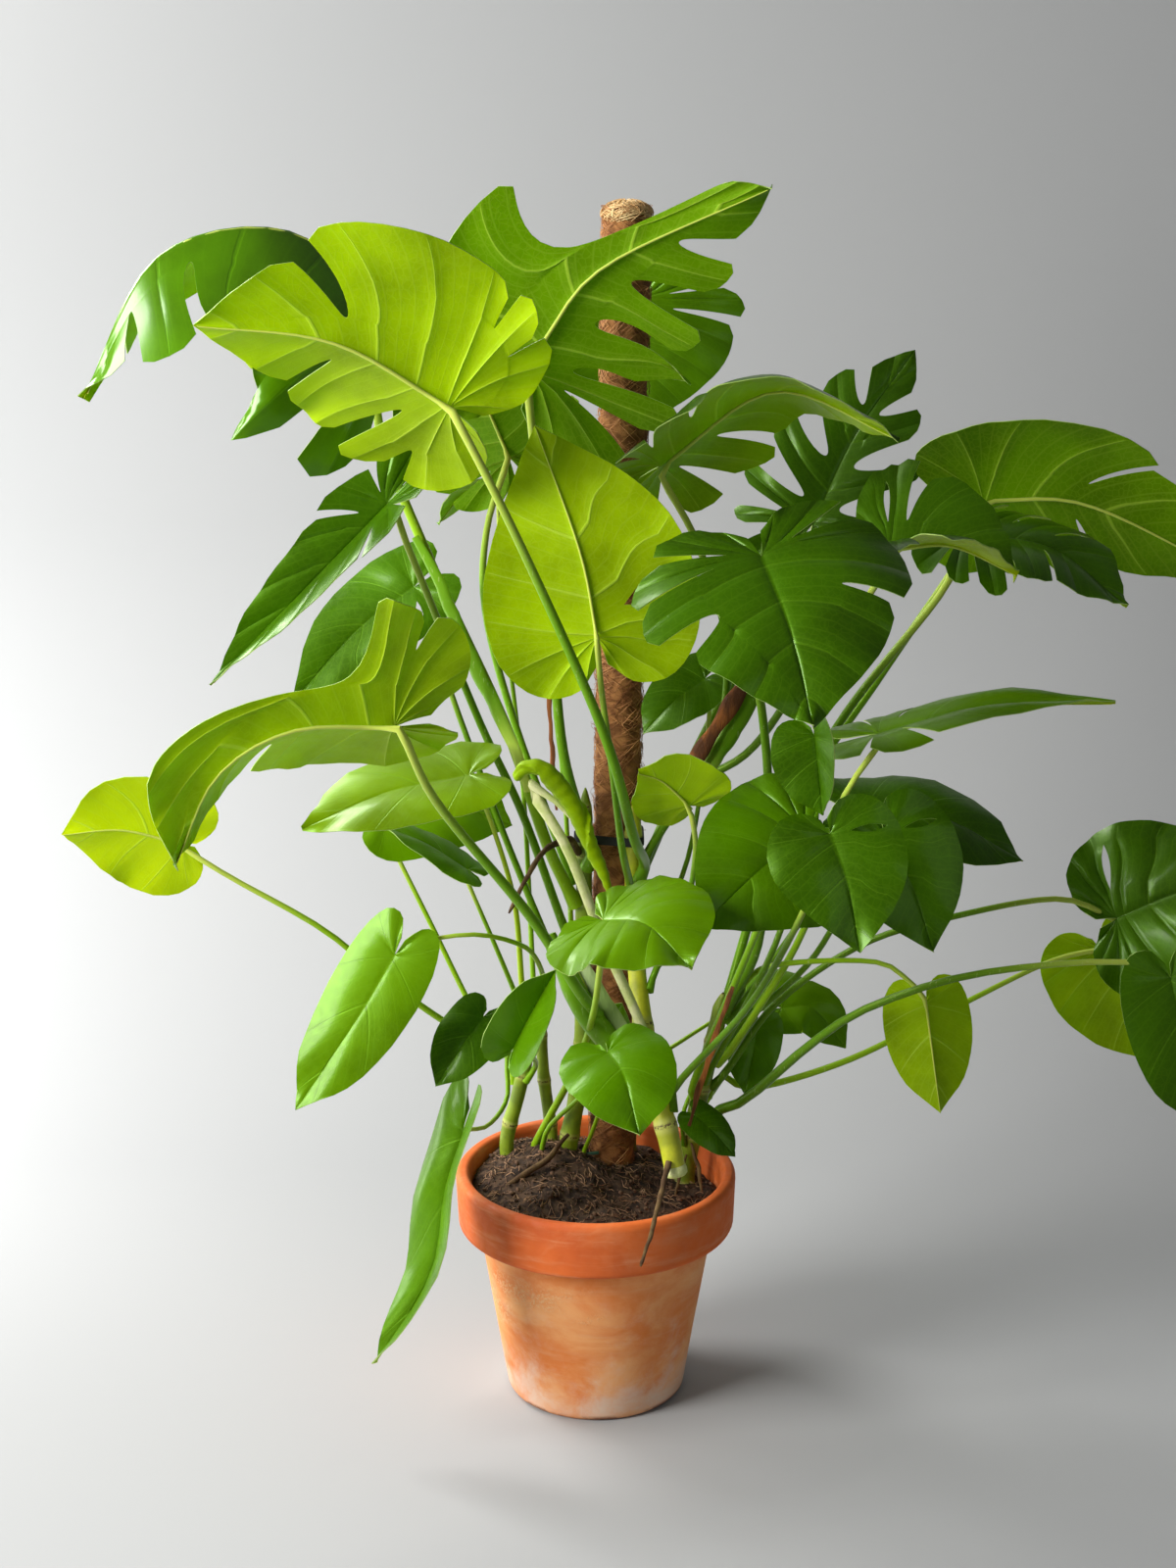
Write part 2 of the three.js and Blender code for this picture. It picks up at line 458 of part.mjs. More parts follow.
// The sheet of a blade as points and triangles: a mesh of rows from the rib to the margin and of
// columns along the margin, parted along the cuts, then bent along its spine.
function bladeSheet(leaf, rows, columnSpan) {
  const cuts = CUTS[leaf.cuts];
  const spine = curveThrough(leaf.spine.map(vector));
  const length = spine.getLength();
  const half = leaf.width / 2;
  const sides = leaf.sides ?? [1, 1];
  const face = vector(leaf.face);
  const faceTip = vector(leaf.faceTip ?? leaf.face);
  const fold = pair(leaf.fold).map(THREE.MathUtils.degToRad);
  const curl = pair(leaf.curl).map(THREE.MathUtils.degToRad);
  const wave = leaf.width * 0.03;
  const seed = leaf.spine[0][0] + leaf.width;

  const rib = (s) => (s < FAN ? 0 : ((s - FAN) / (1 - FAN)) ** 1.5);
  const margin = (s) => (cuts.length ? SPLIT_MARGIN : HEART_MARGIN).getPoint(s);
  const speed = (s) => {
    const a = margin(Math.max(0, s - 0.02));
    const b = margin(Math.min(1, s + 0.02));
    return Math.hypot((b.x - a.x) * length, (b.y - a.y) * half) / 0.04;
  };

  // A point of the flat blade, bent round the spine, the fold and the curl.
  function bent(x, y, side, lift) {
    const u = THREE.MathUtils.clamp(x, 0, 1);
    const along = spine.getTangentAt(u);
    const up = face.clone().lerp(faceTip, u);
    up.addScaledVector(along, -up.dot(along)).normalize();
    const left = up.clone().cross(along);
    const point = spine.getPointAt(u);
    if (x < 0) {
      point.addScaledVector(along, x * length);
    }
    const [f, c] = [fold[side], curl[side]];
    const a = y * half * sides[side];
    const radius = half / Math.max(c, 0.01);
    const across = radius * (Math.sin(f) - Math.sin(f - a / radius));
    const rise = radius * (Math.cos(f - a / radius) - Math.cos(f));
    return point.addScaledVector(left, (side === 0 ? 1 : -1) * across).addScaledVector(up, rise + lift);
  }

  const stations = [0, ...cuts.map((cut) => cut[0]), 1];
  const points = [];
  const byKey = new Map();
  const vertex = (key, s, t, side, lobe, back) => {
    if (byKey.has(key)) return byKey.get(key);
    const m = rib(s);
    const edge = margin(THREE.MathUtils.clamp(s, 0, 1));
    const reach = t * (1 - back);
    const x = m + (edge.x - m) * (0.65 * reach + 0.35 * reach * reach);
    const lift = wave * 2 * jitter(seed + lobe, side) * reach * reach
      + wave * 0.5 * reach * reach * Math.sin(s * 23 + seed + side * 2);
    points.push(bent(x, edge.y * reach, side, lift));
    byKey.set(key, points.length - 1);
    return points.length - 1;
  };

  const triangles = [];
  for (let side = 0; side < 2; side += 1) {
    for (let lobe = 0; lobe + 1 < stations.length; lobe += 1) {
      const [from, to] = [stations[lobe], stations[lobe + 1]];
      const count = Math.max(2, Math.round((to - from) / columnSpan));
      const column = (k) => rows.map((t, row) => {
        const share = k / count;
        let s = from + (to - from) * share;
        if (t === 0) return vertex(rib(s) === 0 ? 'joint' : `rib ${s.toFixed(4)}`, s, 0, side, lobe, 0);
        if (s > 0.9999) return vertex('tip', 1, 0, side, lobe, 0);
        const cut = k === 0 ? cuts[lobe - 1] : k === count ? cuts[lobe] : null;
        const back = lobe > 0 && cuts[lobe - 1][2 + side] ? 0.1 * (1 - share) ** 2 * t : 0;
        if (!cut) return vertex(`${side} ${lobe} ${k} ${row}`, s, t, side, lobe, back);
        const [, depth, leftGap, rightGap, end = 2] = cut;
        const gap = side === 0 ? leftGap : rightGap;
        if (!gap || t < depth + 0.01 || t > end - 0.01) {
          return vertex(`${side} cut ${cut[0]} ${row}`, s, t, side, k === 0 ? lobe - 1 : lobe, 0);
        }
        const opening = end < 2
          ? Math.sin((Math.PI * (t - depth)) / (end - depth))
          : Math.sqrt((t - depth) / (1 - depth));
        const shift = (gap * opening) / 2 / (speed(s) * t + (length / 0.7) * (1 - t));
        s += k === 0 ? shift : -shift;
        return vertex(`${side} ${lobe} ${k} ${row}`, s, t, side, lobe, back);
      });
      for (let k = 0; k < count; k += 1) {
        const near = column(k);
        const far = column(k + 1);
        for (let row = 0; row + 1 < rows.length; row += 1) {
          const quad = [near[row], far[row], far[row + 1], near[row + 1]];
          const turn = side === 0 ? quad : quad.reverse();
          for (const [a, b, c] of [[turn[0], turn[1], turn[2]], [turn[0], turn[2], turn[3]]]) {
            if (a !== b && b !== c && a !== c) triangles.push([a, b, c]);
          }
        }
      }
    }
  }
  const onRib = [...byKey].filter(([key]) => key.startsWith('rib') || key === 'joint');
  const ribs = new Set(onRib.map(([, i]) => i));
  return { points, triangles, ribs };
}

// Gives a sheet its thickness, and its rib a ridge on the underside.
function thicken({ points, triangles, ribs }, thickness, ridge) {
  const normals = points.map(() => new THREE.Vector3());
  for (const [a, b, c] of triangles) {
    const normal = points[b].clone().sub(points[a]).cross(points[c].clone().sub(points[a]));
    for (const i of [a, b, c]) normals[i].add(normal);
  }
  normals.forEach((normal) => normal.normalize());
  const count = points.length;
  const top = points.map((p, i) => p.clone().addScaledVector(normals[i], thickness / 2));
  const bottom = points.map((p, i) => p.clone()
    .addScaledVector(normals[i], -thickness / 2 - (ribs.has(i) ? ridge : 0)));
  const edges = new Map();
  for (const [a, b, c] of triangles) {
    for (const [from, to] of [[a, b], [b, c], [c, a]]) edges.set(`${from} ${to}`, [from, to]);
  }
  const walls = [...edges.values()].filter(([from, to]) => !edges.has(`${to} ${from}`));
  return solidOfTriangles([...top, ...bottom], [
    ...triangles,
    ...triangles.map(([a, b, c]) => [c + count, b + count, a + count]),
    ...walls.flatMap(([a, b]) => [[a, a + count, b + count], [a, b + count, b]]),
  ]);
}

// A leaf's stalk, with its radii grown by extra where it cuts its own hole in the soil.
function stalkSolid(leaf, extra = 0) {
  const joint = vector(leaf.spine[0]);
  const along = curveThrough(leaf.spine.map(vector)).getTangentAt(0);
  const up = vector(leaf.face);
  up.addScaledVector(along, -up.dot(along)).normalize();
  const knee = leaf.end * 4;
  const bend = joint.clone().addScaledVector(up, -knee).addScaledVector(along, -knee * 0.3);
  const hold = joint.clone().addScaledVector(up, -leaf.end * 0.4).addScaledVector(along, leaf.end * 2);
  const way = [...seatOn(leaf.from, leaf.radius), ...leaf.stalk.map(vector), bend, hold];
  way[0].z -= extra;
  return tube(way, leaf.radius + extra, leaf.end + extra, STALK_SIDES, Math.min(8, way.length));
}

// A leaf: its blade and its stalk, grown as one piece.
function leafSolid(leaf) {
  const cuts = CUTS[leaf.cuts];
  const large = leaf.width > 130;
  const slit = cuts.some((cut) => cut[4]);
  const rows = slit ? [0, 0.3, 0.56, 0.82, 1] : cuts.length ? [0, 0.3, 0.62, 1] : [0, 0.5, 1];
  const blade = thicken(bladeSheet(leaf, rows, large ? 0.13 : 0.18), large ? 1.2 : 1, large ? 2 : 1);
  return seated(blade.add(stalkSolid(leaf)), leaf.from[0]);
}

// Shapes the foot of a stalk or root to the stem that carries it.
function seated(solid, name) {
  return largest(STEMS[name] ? solid.subtract(stemSolid(STEMS[name], TOUCH)) : solid).simplify(0.15);
}

// Pot, soil, pole and ties
function potSolid() {
  let solid = solidOfGeometry(turned([...POT.outer, ...POT.inner], POT.sides));
  for (let i = 0; i < POT.holes; i += 1) {
    const angle = (2 * Math.PI * (i + 0.25)) / POT.holes;
    const hole = new THREE.CylinderGeometry(POT.holeRadius, POT.holeRadius, 40, 12);
    hole.rotateX(Math.PI / 2);
    hole.translate(POT.holeRing * Math.cos(angle), POT.holeRing * Math.sin(angle), 0);
    solid = solid.subtract(solidOfGeometry(hole));
  }
  return solid;
}

function soilHeight(x, y) {
  const away = ((x - SOIL.moundAt[0]) ** 2 + (y - SOIL.moundAt[1]) ** 2) / (2 * SOIL.moundSpread ** 2);
  return SOIL.edge + SOIL.mound * Math.exp(-away) + SOIL.ripple * Math.sin(x / 17 + 1) * Math.cos(y / 13);
}

function soilSolid(stems) {
  const [rest, ...wall] = POT.inner.slice(2).reverse().map(([r, z]) => [Math.max(0, r - TOUCH * 2), z]);
  const rings = Array.from({ length: SOIL.rings + 1 }, (_, i) => [SOIL.radius * (1 - i / SOIL.rings), SOIL.edge]);
  const bottom = [rest, wall[0]].map(([r, z]) => [r, z + TOUCH]);
  const geometry = turned([...bottom, ...wall.slice(1), ...rings], SOIL.sides);
  const position = geometry.attributes.position;
  for (let i = 0; i < position.count; i += 1) {
    if (position.getZ(i) > SOIL.edge - 1) {
      position.setZ(i, soilHeight(position.getX(i), position.getY(i)));
    }
  }
  let solid = solidOfGeometry(geometry);
  for (const stem of stems) solid = solid.subtract(stem);
  return solid;
}

// Stands a solid that was turned about the vertical on the pole's own leaning axis.
function onPole(geometry) {
  const axis = vector(POLE.top).sub(vector(POLE.foot)).normalize();
  geometry.applyQuaternion(new THREE.Quaternion().setFromUnitVectors(new THREE.Vector3(0, 0, 1), axis));
  geometry.translate(...poleAt(0), 0);
  return geometry;
}

function coirSolid() {
  const { coirRadius: r, coirFrom, coirRings, stakeRadius, stakeTo, top } = POLE;
  const end = top[2];
  const bore = stakeRadius + TOUCH;
  const boreEnd = stakeTo + TOUCH;
  const step = (end - 12 - coirFrom) / coirRings;
  const skin = Array.from({ length: coirRings + 1 }, (_, i) => [r + 1.6 * jitter(i, 7), coirFrom + step * i]);
  const cap = [[r * 0.7, end - 2], [0, end], [0, boreEnd], [bore, boreEnd]];
  const profile = [[bore, coirFrom], ...skin, ...cap, [bore, coirFrom]];
  return solidOfGeometry(onPole(turned(profile, POLE.coirSides)));
}

function stakeSolid(extra = 0) {
  const { stakeRadius: r, stakeFrom, stakeTo } = POLE;
  const foot = stakeFrom - extra;
  const side = r + extra;
  const profile = [[0, foot], [r * 0.4 + extra, foot], [side, stakeFrom + 25], [side, stakeTo], [0, stakeTo]];
  return solidOfGeometry(onPole(turned(profile, POLE.stakeSides)));
}

// A strap drawn tight round the pole and the stems beside it, seen from above as circles.
function tieSolid(height) {
  const [px, py] = poleAt(height);
  const circles = [[px, py, POLE.coirRadius + TIE.coirGap]];
  for (const name of ['climbing_stem', 'front_shoot']) {
    const { centre, radius } = onStem(name, height + TIE.width / 2);
    const near = Math.hypot(centre.x - px, centre.y - py) < 2 * POLE.coirRadius;
    if (near) circles.push([centre.x, centre.y, radius + TIE.stemGap]);
  }
  const outline = (extra) => Array.from({ length: TIE.sides }, (_, i) => {
    const angle = (2 * Math.PI * i) / TIE.sides;
    const reach = ([x, y, radius]) => x * Math.cos(angle) + y * Math.sin(angle) + radius;
    const [cx, cy, r] = circles.reduce((best, circle) => (reach(circle) > reach(best) ? circle : best));
    return new THREE.Vector2(cx + (r + extra) * Math.cos(angle), cy + (r + extra) * Math.sin(angle));
  });
  const band = new THREE.Shape(outline(TIE.thickness));
  band.holes.push(new THREE.Path(outline(0)));
  const geometry = new THREE.ExtrudeGeometry(band, { depth: TIE.width, bevelEnabled: false });
  geometry.translate(0, 0, height);
  return solidOfGeometry(geometry);
}

function stemSolid({ axis, radius, end }, extra = 0) {
  const points = axis.map(vector);
  if (extra) points[0].z -= extra;
  return tube(points, radius + extra, end + extra, STEM_SIDES, axis.length + 3);
}

function rootSolid({ from, way, radius, end }) {
  const [seat] = seatOn(from, radius);
  return seated(tube([seat, ...way.map(vector)], radius, end, ROOT_SIDES, 9), from[0]);
}

// The plant, piece by piece
const plant = new THREE.Group();

function place(name, solid, colour, roughness) {
  const material = new THREE.MeshStandardMaterial({ color: COLOURS[colour], roughness, metalness: 0 });
  const mesh = new THREE.Mesh(geometryOf(solid), material);
  mesh.name = name;
  plant.add(mesh);
}

place('pot', potSolid(), 'terracotta', 0.8);
const coirHole = [[0, 0], [1, 0], [1, 1], [0, 1]].map(([out, up]) => [
  out * (POLE.coirRadius + 3 * TOUCH),
  POLE.coirFrom - TOUCH + up * POT.outer.at(-1)[1],
]);
const planted = [
  ...Object.values(STEMS).map((stem) => stemSolid(stem, TOUCH)),
  ...Object.values(LEAVES).filter((leaf) => leaf.from[0] === 'soil').map((leaf) => stalkSolid(leaf, TOUCH)),
  solidOfGeometry(onPole(turned(coirHole, POLE.coirSides))),
  stakeSolid(TOUCH),
];
place('soil', soilSolid(planted), 'soil', 1);
place('pole_stake', stakeSolid(), 'stake', 0.8);
place('coir_wrap', coirSolid(), 'coir', 1);
TIE.heights.forEach((height, i) => place(`tie_${i + 1}`, tieSolid(height), 'strap', 0.5));
for (const [name, stem] of Object.entries(STEMS)) place(name, stemSolid(stem), stem.tone, 0.6);
for (const [name, root] of Object.entries(ROOTS)) place(name, rootSolid(root), 'root', 0.8);
for (const [name, leaf] of Object.entries(LEAVES)) place(`leaf_${name}`, leafSolid(leaf), leaf.tone, 0.4);

export default plant;
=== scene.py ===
"""Potted swiss cheese plant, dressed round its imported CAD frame.

Split leaves with raised ribs on long stalks, ringed shoots, a pole wound with coir fibre, peat soil
and a weathered terracotta pot. Tables are in millimetres, in the frame of the CAD part.
"""
import math
import random
from dataclasses import dataclass

import bpy
import numpy as np
from bpy.props import FloatProperty, FloatVectorProperty, IntProperty, PointerProperty
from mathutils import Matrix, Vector, noise


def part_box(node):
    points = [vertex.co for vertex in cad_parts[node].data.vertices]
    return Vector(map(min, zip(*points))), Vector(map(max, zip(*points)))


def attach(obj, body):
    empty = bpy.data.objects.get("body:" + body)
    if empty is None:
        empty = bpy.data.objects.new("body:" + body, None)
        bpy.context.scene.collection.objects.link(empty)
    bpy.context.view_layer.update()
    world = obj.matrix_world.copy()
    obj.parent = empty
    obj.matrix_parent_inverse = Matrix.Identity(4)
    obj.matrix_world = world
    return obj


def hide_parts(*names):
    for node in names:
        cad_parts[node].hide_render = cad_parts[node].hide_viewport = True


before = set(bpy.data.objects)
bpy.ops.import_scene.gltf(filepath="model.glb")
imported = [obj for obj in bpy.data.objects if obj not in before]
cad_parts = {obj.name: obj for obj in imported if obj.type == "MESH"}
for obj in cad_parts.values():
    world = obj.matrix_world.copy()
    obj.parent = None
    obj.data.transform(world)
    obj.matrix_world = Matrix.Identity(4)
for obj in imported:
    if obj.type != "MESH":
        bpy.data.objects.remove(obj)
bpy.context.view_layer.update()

bl_info = {
    "name": "Potted Swiss Cheese Plant",
    "version": (1, 0, 0),
    "blender": (4, 5, 0),
    "location": "View3D > Sidebar > Plant",
    "description": "Dresses the packed plant with leaves, shoots, coir pole, soil and pot",
    "category": "Add Mesh",
}

MM = 0.001
TURN = 2 * math.pi
BODY = "root"
SOIL_SEED = 5
COIR_SEED = 11
NOISE_SEED = 7

# Sizes shared with the CAD part, in millimetres
POT_OUTER = [(0, 0), (86, 0), (90, 4), (118, 176), (136, 178), (139, 182), (141, 230), (138, 235)]
POT_INNER = [(130, 235), (127, 230), (124, 190), (107, 172), (78, 14), (0, 14)]
POT_HOLES = 3
POT_HOLE_RADIUS = 9
POT_HOLE_RING = 48
SOIL_RADIUS = 124.2
SOIL_EDGE = 205
SOIL_FLOOR = 180
SOIL_FLOOR_RADIUS = 118
SOIL_MOUND = 34
SOIL_MOUND_AT = (-45, 35)
SOIL_MOUND_SPREAD = 62
POLE_FOOT = (16, 58, 200)
POLE_TOP = (28.5, 58, 1183)
COIR_RADIUS = 24
COIR_FROM = 190
COIR_TO = POLE_TOP[2] - 3
TIE_HEIGHTS = (440, 566)
TIE_WIDTH = 9
TIE_THICKNESS = 1.6
STALK_FOOT = 188

# Wear and fine parts, in millimetres; the pot's wobble is pairs of a noise scale and a swing
POT_EDGE = 2.2
POT_WOBBLE = ((9, 0.6), (45, 0.25))
SOIL_LIP = 1.5
SOIL_GRAINS = (0.7, 0.9, 1.2, 1.6, 2.6)
SOIL_RIPPLE = 2.5
SOIL_CLUMP = 2.6
SOIL_HUMP = 4
PEAT_FIBRE = 0.42
COIR_FIBRE = 0.34
COIR_HAIR = 0.22
STRAW_FIBRE = 0.42
STRAW_DOME = 13
STAKE_TIP = 2.6
STAKE_TAPER = 4.5
STAKE_RADIUS = 6.4
TIE_OFF_POLE = 1.2
TIE_OFF_STEM = 0.9
BARK_RELIEF = 0.35
GREEN_CHIP = [(-11, 36, 0), (-5, 36, 0.6), (3, 37, 1.4)]
GREEN_CHIP_RADII = (2.2, 2.4, 2.1)

# The cut end of the front shoot, as pairs of a distance up the shoot and a radius
CUT_END = [(-2.6, 5.5), (-1.6, 9), (0.4, 11.2), (5, 11.6), (9, 10.6)]

# How finely the pieces are made
POT_SIDES = 96
SPINE_STEPS = 80
STEM_STEPS = 200
STRAW_FIBRES = 420
FIBRE_STEPS = [i / 6 for i in range(7)]
HAIR_STEPS = (0, 0.25, 0.5, 0.75, 1)
LARGE_ROWS = (0, 0.02, 0.05, 0.11, 0.18, 0.26, 0.34, 0.43, 0.52, 0.6, 0.68, 0.76, 0.83, 0.89, 0.94,
              0.975, 1)
SMALL_ROWS = (0, 0.04, 0.15, 0.3, 0.45, 0.6, 0.75, 0.88, 0.96, 1)
CUT_ROWS = (0, 0.01, 0.03, 0.06)
CLOSEST_ROWS = 0.012

# Leaves wider than this many mm have finer ribs; the side ribs fan from a share of the margin on, and
# stand apart by a share of it
LARGE_LEAF = 130
LEAF_THICKNESS = 0.9
FAN = 0.46
LARGE_SPACING = 0.13
SMALL_SPACING = 0.2

# Relief of a blade as shares of the leaf's width: how far its lobes swing, puffs between the ribs,
# ruffles at the margin and the groove over the main rib; the side ribs' grooves are in mm
WAVE = 0.03
PUFF = 0.009
RUFFLE = 0.008
MIDDLE_GROOVE = 0.004
SIDE_GROOVE = 0.6

# How far a lobe leans back from a cut and is rounded at its corners, as shares of the way out, and
# how far along the margin the rounding reaches
LEAN = 0.1
ROUNDING = 0.055
CORNER = 0.028

# Swelling of a shoot's rings, their width in spacings, and how far it narrows between them
RING_SWELL = 0.1
RING_WIDTH = 0.07
WAIST = 0.03

# The points along one half of a leaf's margin, from the notch at the stalk to the tip, as
# fractions of the leaf's length and of its half width, for split leaves and for whole hearts
SPLIT_MARGIN = [
    (-0.13, 0.05), (-0.24, 0.3), (-0.22, 0.66), (-0.06, 0.92), (0.17, 1),
    (0.42, 0.9), (0.66, 0.62), (0.86, 0.27), (1, 0),
]
HEART_MARGIN = [
    (-0.1, 0.05), (-0.21, 0.3), (-0.2, 0.66), (-0.05, 0.92), (0.2, 1),
    (0.47, 0.93), (0.73, 0.67), (0.89, 0.28), (1, 0),
]

# Cuts from the margin: place along it, depth where the cut starts, gap in mm on the left half, gap
# on the right half and, for a closed slit, where it ends
CUTS = {
    "deep": [(0.38, 0.3, 12, 14), (0.5, 0.3, 14, 12), (0.62, 0.3, 12, 13), (0.75, 0.3, 10, 9)],
    "open": [(0.32, 0.3, 26, 26), (0.48, 0.3, 26, 24), (0.62, 0.3, 20, 22)],
    "fingers": [(0.28, 0.25, 24, 46), (0.42, 0.25, 30, 50), (0.56, 0.22, 34, 46), (0.7, 0.22, 30, 36),
                (0.84, 0.28, 20, 22)],
    "swept": [(0.36, 0.28, 34, 14), (0.5, 0.25, 50, 0), (0.64, 0.25, 48, 0), (0.76, 0.3, 34, 190),
              (0.86, 0.25, 24, 0)],
    "great": [(0.34, 0.62, 10, 0), (0.64, 0.3, 180, 0), (0.74, 0.3, 0, 20)],
    "front": [(0.3, 0.62, 10, 0), (0.42, 0.62, 10, 24), (0.56, 0.3, 0, 22), (0.76, 0.3, 20, 12)],
    "hanging": [(0.32, 0.3, 34, 14), (0.45, 0.3, 32, 12), (0.58, 0.3, 30, 14), (0.7, 0.3, 26, 20),
                (0.81, 0.25, 24, 22), (0.9, 0.3, 14, 12)],
    "parted": [(0.3, 0.3, 24, 9), (0.46, 0.35, 0, 8), (0.64, 0.5, 10, 36)],
    "lower": [(0.42, 0.3, 12, 0), (0.56, 0.3, 12, 0), (0.7, 0.3, 11, 9)],
    "half": [(0.36, 0.3, 12, 10), (0.54, 0.3, 10, 12)],
    "slot": [(0.56, 0.3, 20, 0, 0.82)],
    "slit": [(0.48, 0.3, 12, 0, 0.82)],
    "slits": [(0.4, 0.3, 12, 12, 0.82), (0.58, 0.3, 12, 12)],
    "whole": [],
}

# Tints of a leaf's upper side and underside, over the two leaf finishes
TONES = {
    "dark": ((0.55, 0.62, 0.6), (0.8, 0.85, 0.8)),
    "green": ((1.1, 1.1, 0.9), (1, 1, 0.9)),
    "fresh": ((1.5, 1.3, 1.0), (1.0, 1.0, 0.9)),
    # painted glow: an underside made brighter to stand in for light shining through the leaf from behind
    "painted_glow": ((1.5, 1.3, 1.0), (1.5, 1.25, 0.9)),
    # painted sheen: an upper side paled to stand in for the reflection on a glossy leaf
    "painted_sheen": ((2.3, 1.6, 1.0), (1, 1, 1)),
    "bicolour": ((0.5, 0.55, 0.5), (1.3, 1.15, 1.0)),
    "underside": ((0.8, 0.9, 0.9), (1.1, 1.08, 0.9)),
    # painted shade: darker copies of the leaf colours, for leaves that lie in shade
    "painted_shade": ((0.8, 0.9, 0.8), (0.36, 0.5, 0.4)),
    "new": ((0.95, 1.0, 1.6), (0.9, 0.95, 1.6)),
}
SLOTS = {
    "dark": "leaf_dark", "green": "leaf_green", "fresh": "leaf_fresh", "new": "leaf_fresh",
    "underside": "leaf_underside",
}


def pole_at(z):
    """The pole's axis at a height."""
    share = (z - POLE_FOOT[2]) / (POLE_TOP[2] - POLE_FOOT[2])
    return POLE_FOOT[0] + share * (POLE_TOP[0] - POLE_FOOT[0]), POLE_FOOT[1]


def beside_pole(aside, *heights):
    """Points that run up beside the pole."""
    return [(pole_at(z)[0] + aside[0], pole_at(z)[1] + aside[1], z) for z in heights]


# Stems, each as its axis, its radius at the foot and at the end, the spacing of its nodes in radii
# and its finish
STEMS = {
    "climbing_stem": {
        "axis": [(-30, 44, 178), (-28, 44, 240), *beside_pole((-32, -15), 330, 430, 530, 620)],
        "radius": 10, "end": 8, "spacing": 5, "tone": "stem",
    },
    "front_shoot": {
        "axis": [(77, -105, 274), (67, -98, 320), (52, -75, 370), (42, -25, 430),
                 *beside_pole((18, -35), 485), *beside_pole((16, -31), 545, 610)],
        "radius": 11, "end": 8, "spacing": 9, "tone": "fresh",
    },
    "left_shoot": {
        "axis": [(-82, 50, 178), (-92, 57, 235), (-80, 55, 290), (-70, 50, 340), (-64, 42, 420)],
        "radius": 8, "end": 7, "spacing": 7, "tone": "stem",
    },
    "inner_shoot": {
        "axis": [(-46, 72, 178), (-46, 72, 240), (-54, 74, 310), (-58, 76, 400)],
        "radius": 7, "end": 6, "spacing": 7, "tone": "stem",
    },
    "right_shoot": {
        "axis": [(86, 32, 178), (95, 31, 240), (106, 22, 310), (118, 10, 370), (126, 4, 420)],
        "radius": 11, "end": 8, "spacing": 5, "tone": "stem",
    },
    "rear_shoot": {
        "axis": [(32, 88, 178), (34, 96, 260), (32, 101, 360), (30, 104, 450), (30, 106, 520)],
        "radius": 10, "end": 8, "spacing": 5, "tone": "bark",
    },
}
STEM_FINISHES = {
    "stem": ("shoot_stem", (0.8, 0.92, 0.8)),
    "fresh": ("shoot_fresh", (2.0, 1.65, 1.3)),
    "bark": ("shoot_bark", (0.7, 0.62, 0.5)),
}

# Aerial roots, each as the stem it leaves, the height and direction there, and its way down
ROOTS = {
    "root_over_rim": {
        "from": ("front_shoot", 290, 250), "way": [(62, -132, 268), (54, -148, 240), (42, -152, 200)],
        "radius": 3.2, "end": 1.6,
    },
    "root_on_climber": {
        "from": ("climbing_stem", 556, 228), "way": [(-28, 5, 578), (-55, -35, 572), (-84, -50, 520)],
        "radius": 4, "end": 1.8,
    },
}

# Dry strips, a stalk's wing and rootlets too thin for the CAD part: finish, way, radius, how flat
# and slot
SMALL_PARTS = {
    "stalk_wing": ("stalk", [(-172, 22, 872), (-150, 16, 830), (-118, 2, 755), (-86, -9, 690),
                             (-66, -8, 630)], 8, 0.3, "leaf_fresh"),
    "sheath_front": ("stalk", [(-45, -88, 512), (-10, -102, 440), (28, -112, 392), (58, -112, 345)],
                     13, 0.8, "leaf_fresh"),
    "sheath_inside": ("wing", [(-22, -92, 498), (12, -104, 440), (42, -112, 388), (60, -110, 352)],
                      10, 0.4, "leaf_fresh"),
    "husk_front": ("husk", [(158, -52, 788), (130, -62, 735), (96, -72, 685), (72, -78, 650)],
                   7.5, 0.3, "root"),
    "sheath_rear": ("stalk", [(170, -46, 786), (142, -56, 728), (108, -66, 675), (84, -72, 640)],
                    9, 0.5, "leaf_fresh"),
    "husk_low": ("husk", [(130, -75, 455), (114, -80, 405), (101, -84, 360), (90, -84, 315)],
                 3, 0.25, "root"),
    "husk_crown": ("husk", [(-44, -70, 830), (-45, -70, 760), (-42, -66, 690), (-38, -60, 625)],
                   2.4, 0.3, "root"),
    "rootlet_left": ("root", [(-28, 20, 262), (-55, -4, 240), (-88, -16, 224), (-92, -18, 214)],
                     3.4, 0.9, "root"),
    "rootlet_right": ("root", [(96, 20, 252), (104, 2, 232), (106, -14, 214)], 2.2, 1, "root"),
    "rootlet_behind": ("root", [(92, 20, 240), (84, 4, 222), (80, -10, 208)], 1.8, 1, "root"),
}


@dataclass
class Leaf:
    """One leaf's measures; the plain leaf is a green heart."""

    foot: tuple  # the stem, the height and the direction in degrees, or soil and the place
    stalk: list  # points between the foot and the joint
    radius: float  # of the stalk at its foot
    end: float  # radius of the stalk at the joint
    spine: list  # points of the main rib, from the joint to the tip
    width: float
    face: tuple  # the way the upper side looks
    tone: str = "green"
    cuts: str = "whole"
    fold: float = 12  # degrees down from the main rib, or one value for each half
    curl: float = 30  # degrees over half the width, or one value for each half
    sides: tuple = (1, 1)  # how wide each half is for the leaf's width
    wave: float = 1
    tint: str = ""  # a tone whose colours the leaf takes
    face_tip: tuple = ()  # the way the upper side looks at the tip
    waxy: bool = False
    roll: tuple = ()  # the axis of a leaf that is still rolled up


